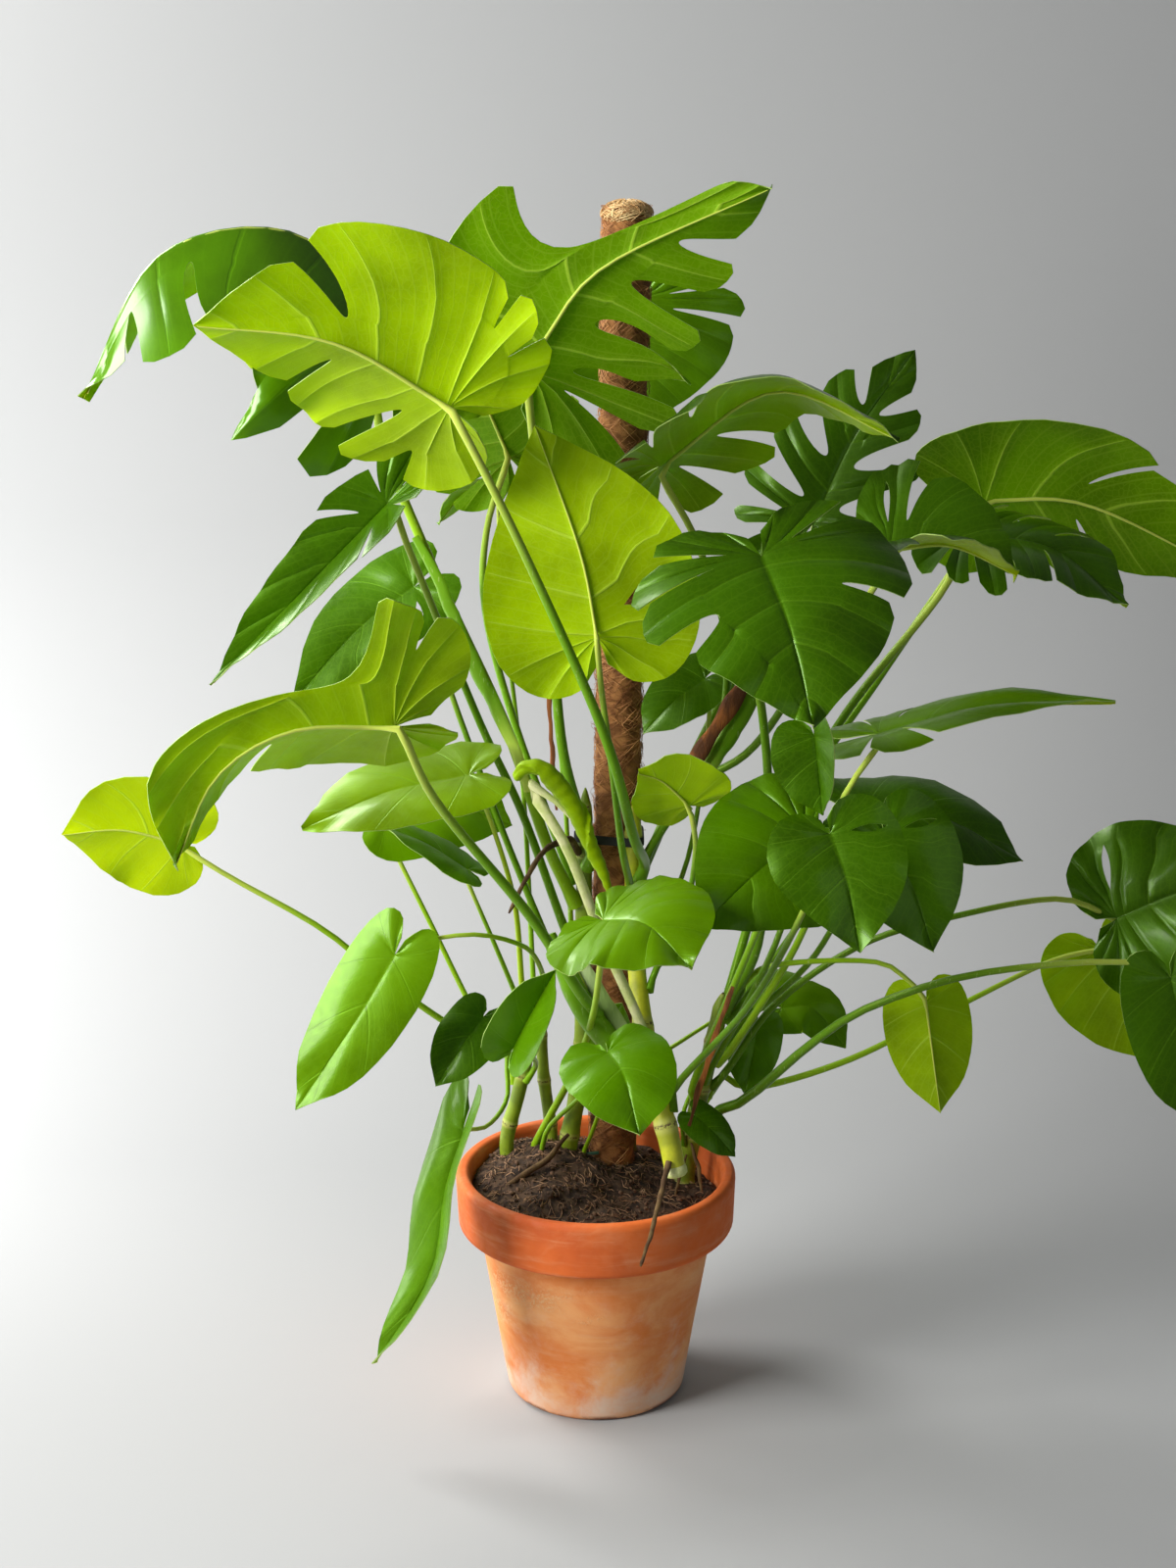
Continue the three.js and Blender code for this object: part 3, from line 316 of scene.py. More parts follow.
# Leaves: foot, stalk, radii, spine, width and face, with what makes each differ from the plain leaf
LEAVES = {
    # Crown, seen mostly from below
    "crown_far_left": Leaf(("climbing_stem", 500, 215),
        [(-50, 0, 580), (-88, 0, 695), (-160, 30, 850), (-208, 50, 980)], 6, 4,
        [(-195, 60, 1095), (-290, 15, 1160), (-400, -25, 1135), (-468, -45, 1010)], 320, (-0.2, 0.1, 1),
        tone="fresh", cuts="hanging", fold=(-62, -10), curl=(45, 40), sides=(1.3, 1), waxy=True),
    "crown_front_left": Leaf(("front_shoot", 530, 300), [(34, -90, 610), (5, -170, 730), (-65, -208, 900)],
        5.5, 3.5, [(-125, -210, 1020), (-220, -225, 1075), (-335, -235, 1090)], 260, (0, 1, 0.15),
        tone="underside", cuts="front", fold=(5, 40), curl=(25, 10)),
    # Its colours are darkened with painted shade
    "crown_top": Leaf(("climbing_stem", 540, 285), [(-32, -40, 680), (-44, -50, 835), (-58, -48, 970)], 5.5,
        3.5, [(-60, -45, 1035), (-40, -55, 1075), (10, -75, 1132), (152, -100, 1198)], 310, (0, 1, 0.15),
        tone="underside", cuts="swept", fold=(10, 5), curl=(30, 15), sides=(0.92, 0.78), tint="painted_shade"),
    # Its colours are darkened with painted shade
    "crown_rear_left": Leaf(("climbing_stem", 520, 160),
        [(-80, 90, 670), (-110, 105, 785), (-108, 112, 865)], 4.5, 3,
        [(-85, 120, 935), (-120, 140, 1010), (-150, 150, 1055)], 180, (0, 0.9, 0.4), tone="underside",
        cuts="half", fold=10, tint="painted_shade"),
    "crown_behind_pole": Leaf(("rear_shoot", 480, 90), [(30, 150, 650), (32, 190, 840), (40, 208, 1000)],
        4.5, 3, [(45, 195, 1085), (48, 190, 1030), (45, 165, 960)], 210, (0, -0.85, 0.5), cuts="half"),
    "crown_right": Leaf(("front_shoot", 545, 0), [(115, -25, 690), (120, -40, 790), (92, -52, 880)], 4.5, 3,
        [(58, -50, 950), (160, -70, 1020), (270, -100, 980)], 190, (0.2, 0.35, 0.9), tone="dark",
        cuts="open", fold=15, curl=60),
    "crown_rear_right": Leaf(("rear_shoot", 500, 10), [(100, 105, 640), (155, 130, 740), (212, 168, 820)],
        5.5, 3.5, [(220, 180, 860), (262, 205, 945), (325, 235, 1030)], 190, (-0.3, -0.85, 0.3),
        tone="dark", cuts="fingers"),

    # Middle right
    "middle_heart": Leaf(("front_shoot", 505, 262), [(24, -62, 590), (14, -112, 680), (4, -138, 760)], 4,
        2.5, [(0, -150, 810), (-15, -142, 885), (-55, -122, 995)], 195, (0.05, 0.95, -0.1),
        tone="underside", cuts="slot", fold=8, curl=20),
    "middle_front_right": Leaf(("right_shoot", 400, 290),
        [(156, -62, 500), (160, -85, 640), (150, -130, 735), (134, -190, 810)], 5, 3.5,
        [(140, -220, 895), (162, -275, 840), (178, -325, 770)], 250, (0, -0.8, 0.6), tone="dark",
        cuts="parted", curl=40),
    "middle_right_edge_on": Leaf(("front_shoot", 590, 20),
        [(140, 5, 660), (190, -35, 740), (245, -85, 830)], 4.5, 3,
        [(265, -90, 880), (320, -100, 885), (378, -115, 860)], 175, (0, -0.1, 1), tone="fresh",
        cuts="slits", fold=(50, 30), curl=(10, 30), tint="bicolour"),
    "middle_far_right": Leaf(("right_shoot", 405, 30), [(190, 30, 590), (240, 15, 700), (325, 0, 820)], 5,
        3.5, [(350, 0, 880), (425, -30, 870), (490, -60, 820)], 180, (0, -0.3, 0.95), tone="dark",
        cuts="deep", fold=15, curl=50),
    # Its colours are darkened with painted shade
    "middle_rear_right": Leaf(("right_shoot", 370, 75), [(190, 90, 570), (285, 105, 720), (362, 110, 840)],
        5, 3.5, [(380, 110, 895), (470, 100, 895), (565, 88, 855), (630, 78, 815)], 175, (0, 0.95, 0.3),
        tone="fresh", cuts="lower", tint="painted_shade"),
    "middle_right_long": Leaf(("right_shoot", 345, 325), [(198, -50, 500), (222, -115, 640)], 4, 2.6,
        [(255, -136, 718), (350, -140, 745), (465, -150, 750)], 120, (0, -0.05, 1), tone="fresh",
        cuts="half", fold=20, curl=50),
    "middle_right_folded": Leaf(("right_shoot", 325, 275), [(172, -72, 500), (205, -108, 662)], 3.6, 2.4,
        [(190, -210, 735), (194, -222, 700), (197, -231, 668)], 80, (-0.4, -0.85, 0.3), tone="dark",
        fold=(55, 20), curl=10),

    # Middle left
    "left_upper": Leaf(("climbing_stem", 455, 195),
        [(-72, 18, 600), (-112, -10, 700), (-158, -70, 840), (-175, -86, 890)], 4.5, 3,
        [(-190, -90, 920), (-255, -105, 855), (-350, -122, 760)], 140, (-0.4, -0.8, 0.4), cuts="half",
        fold=35, curl=10, sides=(0.66, 0.6), tint="dark"),
    "left_great": Leaf(("front_shoot", 385, 190), [(-10, -130, 460), (-60, -170, 555), (-140, -218, 675)],
        6, 3.5, [(-175, -240, 750), (-260, -262, 752), (-325, -272, 714), (-364, -271, 634)], 270,
        (0, 1, 0.2), tone="underside", cuts="great", fold=(5, 45), curl=(35, 20), sides=(1, 0.6),
        face_tip=(-0.5, 0.8, 0.2)),
    "left_rear_upper": Leaf(("climbing_stem", 400, 175), [(-90, 65, 560), (-145, 95, 705)], 4, 2.6,
        [(-180, 100, 810), (-240, 90, 765), (-300, 70, 700)], 100, (0, -0.8, 0.6), tone="dark",
        cuts="slit"),
    # Its underside is brightened with painted glow from light behind it
    "left_far_heart": Leaf(("left_shoot", 330, 250),
        [(-115, -15, 375), (-195, -50, 445), (-260, -65, 508), (-345, -72, 562)], 3.8, 2.4,
        [(-390, -70, 595), (-445, -80, 612), (-500, -90, 610)], 125, (0, 1, 0.2), tone="fresh", fold=10,
        curl=25, tint="painted_glow"),
    # Its upper side is paled with a painted sheen
    "left_middle_heart": Leaf(("inner_shoot", 370, 200), [(-80, 10, 510), (-100, -48, 610)], 3.4, 2.2,
        [(-120, -60, 660), (-200, -72, 645), (-275, -90, 615)], 110, (0.05, -0.35, 0.93), tone="dark",
        tint="painted_sheen"),
    "left_pale_heart": Leaf(("left_shoot", 300, 150), [(-118, 55, 370), (-165, 50, 475)], 3.2, 2.2,
        [(-210, 60, 585), (-145, 85, 590), (-85, 100, 565)], 110, (0, -0.7, 0.7), tone="fresh"),
    "left_small_heart": Leaf(("left_shoot", 385, 200), [(-100, 5, 470)], 2.8, 2,
        [(-125, -20, 555), (-165, -15, 580), (-205, -10, 595)], 50, (0, -0.2, 0.97)),
    "rear_left_small": Leaf(("inner_shoot", 350, 110), [(-75, 140, 600), (-95, 178, 780)], 3, 2,
        [(-105, 190, 900), (-135, 188, 890), (-160, 180, 860)], 50, (0, 0.5, 0.85)),
    "rear_middle_small": Leaf(("climbing_stem", 410, 120), [(-30, 105, 570), (-38, 118, 660)], 3, 2,
        [(-45, 120, 740), (-68, 113, 745), (-90, 112, 724)], 55, (0, 0.5, 0.85)),
    "middle_small_dark": Leaf(("rear_shoot", 400, 330), [(90, 50, 540), (108, 32, 670)], 3, 2,
        [(105, 20, 735), (75, 10, 715), (45, 0, 685)], 70, (-0.3, -0.7, 0.6), tone="dark", fold=15,
        curl=20),
    "new_rolled": Leaf(("front_shoot", 350, 230), [(48, -112, 410), (5, -122, 520), (-28, -130, 610)], 5, 5,
        [(-50, -134, 668), (-15, -136, 630), (15, -138, 570)], 60, (0.5, -0.8, 0.3), tone="new", fold=0,
        curl=0,
        roll=[(-74, -138, 676), (-64, -140, 687), (-46, -142, 684), (-22, -144, 655),
         (-8, -147, 620), (5, -149, 594), (13, -150, 570)]),

    # Low front
    "front_bright": Leaf(("soil", -66, 50),
        [(-50, 35, 270), (-32, 8, 315), (-15, -50, 375), (-2, -150, 460), (4, -228, 540)], 4, 2.8,
        [(5, -255, 580), (42, -292, 588), (80, -330, 560)], 150, (0, -0.45, 0.9), tone="fresh", fold=8),
    "front_glossy": Leaf(("right_shoot", 305, 240), [(132, -62, 450), (166, -128, 570)], 4, 2.8,
        [(190, -160, 630), (145, -190, 605), (90, -220, 560)], 160, (0, -0.8, 0.6), cuts="slit", curl=40),
    "front_dark": Leaf(("front_shoot", 330, 340), [(142, -185, 480), (186, -250, 600)], 3.8, 2.6,
        [(200, -262, 660), (215, -282, 620), (225, -300, 565)], 120, (0, -0.9, 0.4), tone="dark",
        cuts="slit", fold=15),
    "front_thin": Leaf(("right_shoot", 390, 350), [(205, -15, 510), (238, -42, 590)], 3.6, 2.4,
        [(250, -60, 625), (325, -62, 620), (405, -60, 575)], 110, (0, -0.5, 0.85), tone="dark", curl=40),
    "front_low_dark": Leaf(("right_shoot", 365, 345), [(208, -32, 465), (244, -100, 570)], 3.6, 2.4,
        [(265, -120, 620), (290, -138, 575), (310, -150, 515)], 120, (0, -0.9, 0.3), tone="dark",
        cuts="slit"),
    "front_ribbed": Leaf(("front_shoot", 430, 340), [(80, -62, 500), (92, -98, 590)], 3.6, 2.4,
        [(86, -114, 645), (60, -128, 672), (38, -138, 682)], 100, (0, 0.8, 0.6), tone="underside", curl=25),
    "front_middle_heart": Leaf(("soil", -56, 34), [(-48, 12, 272), (-15, -70, 340), (3, -145, 395)], 2.8,
        2.2, [(10, -185, 430), (25, -218, 418), (38, -250, 375)], 105, (0, -0.75, 0.65), curl=35),
    "front_pale_small": Leaf(("soil", -14, 38), [(-4, 25, 262), (8, 5, 310), (10, -35, 360)], 2.4, 1.8,
        [(8, -50, 390), (15, -58, 412), (25, -66, 435)], 45, (0, -0.9, 0.4), tone="fresh", fold=15,
        curl=25),
    "left_folded": Leaf(("left_shoot", 310, 300), [(-62, -55, 375)], 3, 2,
        [(-78, -126, 412), (-60, -130, 450), (-38, -122, 488)], 70, (-0.3, -0.9, 0.1), fold=45, curl=10),
    "left_low_heart": Leaf(("left_shoot", 345, 270), [(-92, -30, 400)], 2.8, 2,
        [(-108, -92, 430), (-128, -112, 408), (-152, -124, 372)], 62, (0, -0.8, 0.6), tone="dark"),
    "left_low_bright": Leaf(("left_shoot", 400, 310),
        [(-58, -40, 470), (-72, -85, 500), (-110, -115, 520), (-155, -124, 518)], 2.8, 2,
        [(-188, -130, 505), (-225, -150, 445), (-280, -165, 365)], 88, (-0.1, -0.85, 0.5), fold=6, curl=25,
        tint="fresh"),
    "left_hanging": Leaf(("left_shoot", 375, 250), [(-88, 0, 355), (-88, -30, 322), (-105, -75, 312)], 3, 2,
        [(-128, -108, 318), (-146, -118, 262), (-160, -130, 180), (-214, -140, 92)], 82, (-0.3, -0.8, 0.5),
        fold=(55, 10), curl=(0, 60), wave=3),

    # Low right
    "right_pale_folded": Leaf(("right_shoot", 412, 322),
        [(170, -52, 468), (265, -70, 478), (300, -80, 460)], 3.2, 2.2,
        [(315, -80, 440), (322, -90, 390), (330, -100, 335)], 90, (0, 0.9, 0.2), tone="fresh", fold=25,
        curl=10),
    "right_rear_pale": Leaf(("right_shoot", 300, 30),
        [(160, 28, 310), (250, 18, 342), (345, 22, 390), (450, 35, 440)], 3.8, 2.4,
        [(505, 35, 455), (535, 30, 400), (560, 20, 340)], 140, (0, 0.9, 0.3), tone="fresh", fold=15),
    "right_long_dark": Leaf(("right_shoot", 316, 352),
        [(180, 16, 405), (260, -8, 474), (345, -30, 510), (445, -42, 532)], 4, 2.6,
        [(500, -50, 515), (560, -70, 550), (615, -88, 570)], 180, (0, -0.8, 0.6), tone="dark", cuts="slit",
        fold=10),
    "right_hanging": Leaf(("right_shoot", 272, 330),
        [(150, -20, 318), (210, -60, 392), (260, -92, 440), (350, -128, 485), (470, -148, 505)], 5.5, 2.4,
        [(530, -150, 490), (545, -160, 425), (558, -170, 350)], 100, (-0.3, -0.9, 0.2), tone="dark",
        fold=25, curl=20),
    "right_low_upright": Leaf(("right_shoot", 252, 120), [(116, 66, 320)], 2.6, 1.8,
        [(164, 44, 372), (158, 32, 342), (150, 14, 308)], 55, (0, -0.8, 0.5), curl=25),
    "right_low_bright": Leaf(("right_shoot", 262, 60), [(150, 62, 335)], 2.6, 1.8,
        [(190, 70, 380), (222, 68, 380), (255, 60, 340)], 60, (0, -0.7, 0.7), tone="fresh"),
    "rear_low_fresh": Leaf(("rear_shoot", 280, 20), [(90, 108, 330)], 2.6, 1.8,
        [(155, 120, 375), (192, 128, 385), (230, 130, 375)], 55, (0, -0.4, 0.9), tone="fresh"),
    "right_pot_small": Leaf(("right_shoot", 250, 230), [(86, -2, 280)], 2.4, 1.8,
        [(98, -22, 300), (118, -32, 285), (138, -36, 262)], 42, (0, -0.6, 0.8), tone="dark"),
}


# Curves, grids and tubes

def unit(v):
    """Vectors scaled to length 1."""
    return v / np.maximum(np.linalg.norm(v, axis=-1, keepdims=True), 1e-9)


def read(table, at, marks=None):
    """Rows of a table at fractional row numbers, or at places between its rows' own marks."""
    marks = np.arange(len(table)) if marks is None else marks
    return np.stack([np.interp(at, marks, column) for column in table.T], -1)


def smooth(points, fineness=40):
    """A Catmull-Rom curve through the points, in even steps of its parameter."""
    p = np.array(points, float)
    p = np.vstack([2 * p[0] - p[1], p, 2 * p[-1] - p[-2]])
    t = np.linspace(0, 1, fineness, endpoint=False)[:, None]
    spans = [
        0.5 * (2 * b + (c - a) * t + (2 * a - 5 * b + 4 * c - d) * t ** 2
               + (3 * b - a - 3 * c + d) * t ** 3)
        for a, b, c, d in zip(p, p[1:], p[2:], p[3:])
    ]
    return np.vstack([*spans, p[-2:-1]])


def walk(points, steps):
    """Points at even distances along the smooth curve through some points, and its length."""
    fine = smooth(points)
    reach = np.concatenate([[0], np.cumsum(np.linalg.norm(np.diff(fine, axis=0), axis=1))])
    return read(fine, np.linspace(0, reach[-1], steps + 1), reach), reach[-1]


def taper(start, end, share):
    """The radius of a stem, stalk or root at shares of its way."""
    return start + (end - start) * share


def jitter(i, j):
    """A number from -0.5 to 0.5 that is fixed for each pair of indices."""
    wave = math.sin(i * 12.9898 + j * 78.233) * 43758.5453
    return wave - math.floor(wave) - 0.5


def ring_point(radius, angle, z=0.0):
    """A point at a distance from the vertical axis, an angle and a height."""
    return radius * math.cos(angle), radius * math.sin(angle), z


def sweep(way, radii, sides, flat=1.0):
    """Rings round a way, as rings by sides + 1 by 3, closed to a point at both ends."""
    along = unit(np.gradient(way, axis=0))
    normal = unit(np.cross(along[0], (0.31, 0.87, 0.22)))
    angles = np.linspace(0, TURN, sides + 1)[:, None]
    rings = []
    for centre, forward, radius in zip(way, along, radii):
        normal = unit(normal - forward * (normal @ forward))
        beside = np.cross(forward, normal)
        rings.append(centre + radius * (np.cos(angles) * normal + flat * np.sin(angles) * beside))
    ends = [np.repeat(way[k:k + 1], sides + 1, 0) for k in (0, len(way) - 1)]
    return np.stack([ends[0], *rings, ends[1]])


def take(*pieces):
    """Selects pieces alone, with the first of them active."""
    bpy.ops.object.select_all(action="DESELECT")
    for piece in pieces:
        piece.select_set(True)
    bpy.context.view_layer.objects.active = pieces[0]


def rename(piece, name):
    """Gives a piece and its data one name."""
    piece.name = name
    piece.data.name = name
    return piece


def lay_grid(name, points, uvs=None):
    """A grid primitive laid on rows by columns of points in mm, with a map of its growth."""
    rows, columns = points.shape[:2]
    bpy.ops.object.select_all(action="DESELECT")
    bpy.ops.mesh.primitive_grid_add(x_subdivisions=columns - 1, y_subdivisions=rows - 1, size=1)
    piece = rename(bpy.context.object, name)
    piece.data.vertices.foreach_set("co", (points * MM).reshape(-1))
    layer = piece.data.uv_layers[0]
    layer.name = "growth"
    if uvs is not None:
        order = np.zeros(len(piece.data.loops), np.int32)
        piece.data.loops.foreach_get("vertex_index", order)
        layer.uv.foreach_set("vector", uvs.reshape(-1, 2)[order].reshape(-1))
    piece.data.update()
    return piece


def close_up(piece):
    """Merges a piece's points that lie together and turns its faces outwards."""
    take(piece)
    bpy.ops.object.mode_set(mode="EDIT")
    bpy.ops.mesh.select_all(action="SELECT")
    bpy.ops.mesh.remove_doubles(threshold=0.02 * MM)
    bpy.ops.mesh.normals_make_consistent(inside=False)
    bpy.ops.object.mode_set(mode="OBJECT")
    return piece


def apply_modifier(piece, kind, **settings):
    """Adds a modifier to a piece and applies it."""
    bpy.context.view_layer.objects.active = piece
    modifier = piece.modifiers.new(kind.lower(), kind)
    for key, value in settings.items():
        setattr(modifier, key, value)
    bpy.ops.object.modifier_apply(modifier=modifier.name)


def join(pieces, name):
    """Joins pieces into the first of them."""
    take(*pieces)
    bpy.ops.object.join()
    return rename(pieces[0], name)


def paint(piece, *finishes):
    """Gives a piece its materials."""
    for finish in finishes:
        piece.data.materials.append(MATERIALS[finish])
    return piece


def settle(piece, slot, *nodes, angle=60):
    """Smooths a finished piece, rides it on the body and hides the parts of the frame it stands for."""
    take(piece)
    bpy.ops.object.shade_smooth_by_angle(angle=math.radians(angle))
    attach(piece, BODY)
    if nodes:
        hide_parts(*nodes)


def dye(piece, tint, under=None):
    """Stores a piece's tint on its points, and another on its underside; it may hold painted shade, glow or
    sheen.
    """
    attribute = piece.data.color_attributes.new("tint", "FLOAT_COLOR", "POINT")
    colours = np.tile(np.array([*tint, 1.0]), (len(piece.data.vertices), 1))
    if under:
        index = [slot.name for slot in piece.data.materials].index("leaf_under")
        for polygon in piece.data.polygons:
            if polygon.material_index == index:
                colours[list(polygon.vertices), :3] = under
    attribute.data.foreach_set("color", colours.reshape(-1))


def tube(name, way, radii, sides, flat=1.0, shares=None):
    """A closed tube along a way, with a map that runs once round it and once along it."""
    shares = np.linspace(0, 1, len(way)) if shares is None else shares
    along = np.concatenate([shares[:1], shares, shares[-1:]])
    uvs = np.stack(np.broadcast_arrays(np.linspace(0, 1, sides + 1)[None, :], along[:, None]), -1)
    return close_up(lay_grid(name, sweep(way, radii, sides, flat), uvs))


def from_faces(name, points, faces):
    """A piece made from points in mm and the faces between them."""
    mesh = bpy.data.meshes.new(name)
    mesh.from_pydata([tuple(p * MM) for p in points], [], faces)
    piece = bpy.data.objects.new(name, mesh)
    bpy.context.scene.collection.objects.link(piece)
    return piece


def strands(name, ways, radius):
    """Many fine three-sided fibres as one mesh, each a slim tube along its own way."""
    sides = 3
    points = []
    faces = []
    for way in ways:
        slim = radius * np.sqrt(np.sin(np.linspace(0.25, math.pi - 0.25, len(way))))
        start = len(points)
        points.extend(sweep(way, slim, sides)[1:-1, :-1].reshape(-1, 3))
        end = len(points) - sides
        for a in range(start, end):
            b = a + 1 if (a - start) % sides < sides - 1 else a + 1 - sides
            faces.append((a, b, b + sides, a + sides))
        faces.append(tuple(range(start + sides - 1, start - 1, -1)))
        faces.append(tuple(range(end, end + sides)))
    return from_faces(name, points, faces)


def scatter(name, source, places):
    """Copies a small mesh to many places, each a centre, a size per axis and a turn, as one mesh."""
    shape = np.array([tuple(v.co) for v in source.data.vertices]) / MM
    corners = [tuple(p.vertices) for p in source.data.polygons]
    points = []
    faces = []
    for centre, size, turn in places:
        faces.extend(tuple(len(points) + i for i in corner) for corner in corners)
        points.extend((shape * size) @ np.array(turn.to_matrix()).T + centre)
    bpy.data.objects.remove(source)
    return from_faces(name, points, faces)


# Finishes, with colours as a picture shows them

RIB_FLECK = (0.72, 0.78, 0.5)
SHOOT_GREENS = ((0.56, 0.62, 0.12), (0.44, 0.5, 0.1))
NODE_RING = (0.76, 0.76, 0.42)
NODE_SCAR = (0.33, 0.23, 0.13)
DEEP_CLAY = (0.74, 0.33, 0.14)
BODY_CLAY = (0.88, 0.5, 0.24)
PALE_CLAY = (0.95, 0.7, 0.46)
CLAY_STREAK = (0.9, 0.68, 0.5)
LIME_BLOOM = (0.9, 0.81, 0.73)
CLAY_GRIT = (0.93, 0.76, 0.56)
DARK_FOOT = (0.45, 0.2, 0.13)
RUBBED_CLAY = (0.86, 0.56, 0.38)
STRAP_BLACKS = ((0.07, 0.07, 0.07), (0.16, 0.16, 0.155))
PAPER_GREYS = ((0.645, 0.65, 0.652), (0.675, 0.678, 0.68))
LEAF_COAT = (0.9, 1.0, 0.7)
LEAF_SHEEN = (0.72, 1.0, 0.3)
STALK_SHEEN = (0.85, 1.0, 0.45)

# Leaf skins: vein colour, strength and relief of the ribs, roughness and scattering
UPPER_SKIN = ((0.42, 0.58, 0.12), 0.17, -0.6, 0.36, 0.12)
UNDER_SKIN = ((0.68, 0.78, 0.26), 0.4, 1.0, 0.5, 0.3)

# Fibrous finishes: two colours, scale of the patches and, where they matter, roughness and stretch
FIBRES = {
    "edge": ("leaf_edge", (0.66, 0.76, 0.4), (0.56, 0.68, 0.32), 40.0, 0.5),
    "root": ("root_bark", (0.3, 0.21, 0.13), (0.42, 0.33, 0.2), 80.0, 0.8),
    "husk": ("dry_husk", (0.62, 0.36, 0.14), (0.34, 0.19, 0.08), 70.0, 0.7, (1, 1, 0.12)),
    "coir": ("coir_felt", (0.66, 0.45, 0.26), (0.46, 0.29, 0.16), 90.0),
    "coir_fibre": ("coir_fibre", (0.8, 0.58, 0.36), (0.55, 0.35, 0.2), 30.0, 0.65),
    "coir_straw": ("coir_straw", (0.96, 0.84, 0.62), (0.8, 0.65, 0.44), 30.0, 0.65),
    "stake": ("stake_wood", (0.42, 0.32, 0.22), (0.3, 0.22, 0.14), 20.0, 0.7, (1, 1, 0.1)),
    "soil": ("peat_soil", (0.33, 0.25, 0.19), (0.17, 0.125, 0.1), 120.0, 0.95),
    "crumb": ("soil_crumb", (0.45, 0.34, 0.26), (0.22, 0.16, 0.12), 90.0, 0.95),
    "chip": ("green_chip", (0.35, 0.55, 0.45), (0.28, 0.46, 0.38), 40.0, 0.6),
    "fibre": ("peat_fibre", (0.68, 0.53, 0.4), (0.36, 0.26, 0.2), 40.0, 0.8),
    "wing": ("stalk_wing", (0.6, 0.67, 0.46), (0.47, 0.57, 0.3), 30.0, 0.5, (1, 1, 0.2)),
    "cut": ("cut_end", (0.88, 0.88, 0.66), (0.78, 0.82, 0.5), 50.0, 0.6),
}
MATERIALS = {}


def rgba(colour):
    """A colour with its alpha, from the sRGB values that a picture shows."""
    return (*[(c / 12.92 if c <= 0.04045 else ((c + 0.055) / 1.055) ** 2.4) for c in colour], 1.0)


class Nodes:
    """The nodes of a material or of a shared group."""

    def __init__(self, tree):
        self.tree = tree

    def put(self, kind, inputs=None, **settings):
        """Adds a node; each input is a value, an sRGB colour or another node's output."""
        node = self.tree.nodes.new(kind)
        for key, value in settings.items():
            setattr(node, key, value)
        for key, value in (inputs or {}).items():
            socket = node.inputs[key]
            if isinstance(value, bpy.types.NodeSocket):
                self.tree.links.new(value, socket)
            else:
                socket.default_value = rgba(value) if socket.type == "RGBA" else value
        return node

    def calc(self, operation, *values):
        """The output of a maths node."""
        return self.put("ShaderNodeMath", dict(enumerate(values)), operation=operation).outputs[0]

    def times(self, first, second):
        """Two values multiplied."""
        return self.calc("MULTIPLY", first, second)

    def from_half(self, value):
        """How far a value's fraction is from a half."""
        return self.calc("ABSOLUTE", self.calc("SUBTRACT", self.calc("FRACT", value), 0.5))

    def remap(self, value, low, high, to_low=0.0, to_high=1.0):
        """A value taken smoothly from one range to another."""
        inputs = {"Value": value, "From Min": low, "From Max": high, "To Min": to_low, "To Max": to_high}
        return self.put("ShaderNodeMapRange", inputs, interpolation_type="SMOOTHSTEP").outputs[0]

    def mix(self, factor, first, second, kind="MIX"):
        """Two colours mixed."""
        inputs = {0: factor, 6: first, 7: second}
        return self.put("ShaderNodeMix", inputs, data_type="RGBA", blend_type=kind).outputs[2]

    def noise(self, vector, scale, detail=4.0, roughness=0.55, distortion=0.0):
        """The value of a noise texture."""
        inputs = {"Vector": vector, "Scale": scale, "Detail": detail, "Roughness": roughness,
                  "Distortion": distortion}
        return self.put("ShaderNodeTexNoise", inputs).outputs["Fac"]

    def place(self, scale=(1, 1, 1)):
        """Object coordinates, stretched per axis."""
        source = self.put("ShaderNodeTexCoord").outputs["Object"]
        return self.put("ShaderNodeMapping", {"Vector": source, "Scale": scale}).outputs[0]

    def part(self, vector, axis):
        """One part of a vector."""
        return self.put("ShaderNodeSeparateXYZ", {0: vector}).outputs[axis]

    def growth(self):
        """The piece's own map of its growth."""
        return self.put("ShaderNodeUVMap", uv_map="growth").outputs[0]

    def tint(self):
        """The piece's tint, which on some leaves is painted shade, glow or sheen."""
        return self.put("ShaderNodeAttribute", attribute_name="tint").outputs["Color"]

    def group(self, name, inputs):
        """The outputs of a shared group."""
        return self.put("ShaderNodeGroup", inputs, node_tree=bpy.data.node_groups[name]).outputs

    def mottle(self, vector, first, second, scale, low, high):
        """Two colours in soft uneven patches, with fine grain."""
        inputs = {"Vector": vector, "First": first, "Second": second, "Scale": scale, "Low": low,
                  "High": high}
        return self.group("mottle", inputs)


class Group(Nodes):
    """A shared group with named sockets."""

    def __init__(self, name, inputs, outputs):
        super().__init__(bpy.data.node_groups.new(name, "ShaderNodeTree"))
        for label, kind in inputs.items():
            self.tree.interface.new_socket(label, in_out="INPUT", socket_type="NodeSocket" + kind)
        for label, kind in outputs.items():
            self.tree.interface.new_socket(label, in_out="OUTPUT", socket_type="NodeSocket" + kind)
        self.source = self.tree.nodes.new("NodeGroupInput").outputs

    def give(self, **values):
        """Links the group's values to its named outputs."""
        sink = self.tree.nodes.new("NodeGroupOutput")
        for label, value in values.items():
            self.tree.links.new(value, sink.inputs[label.replace("_", " ")])


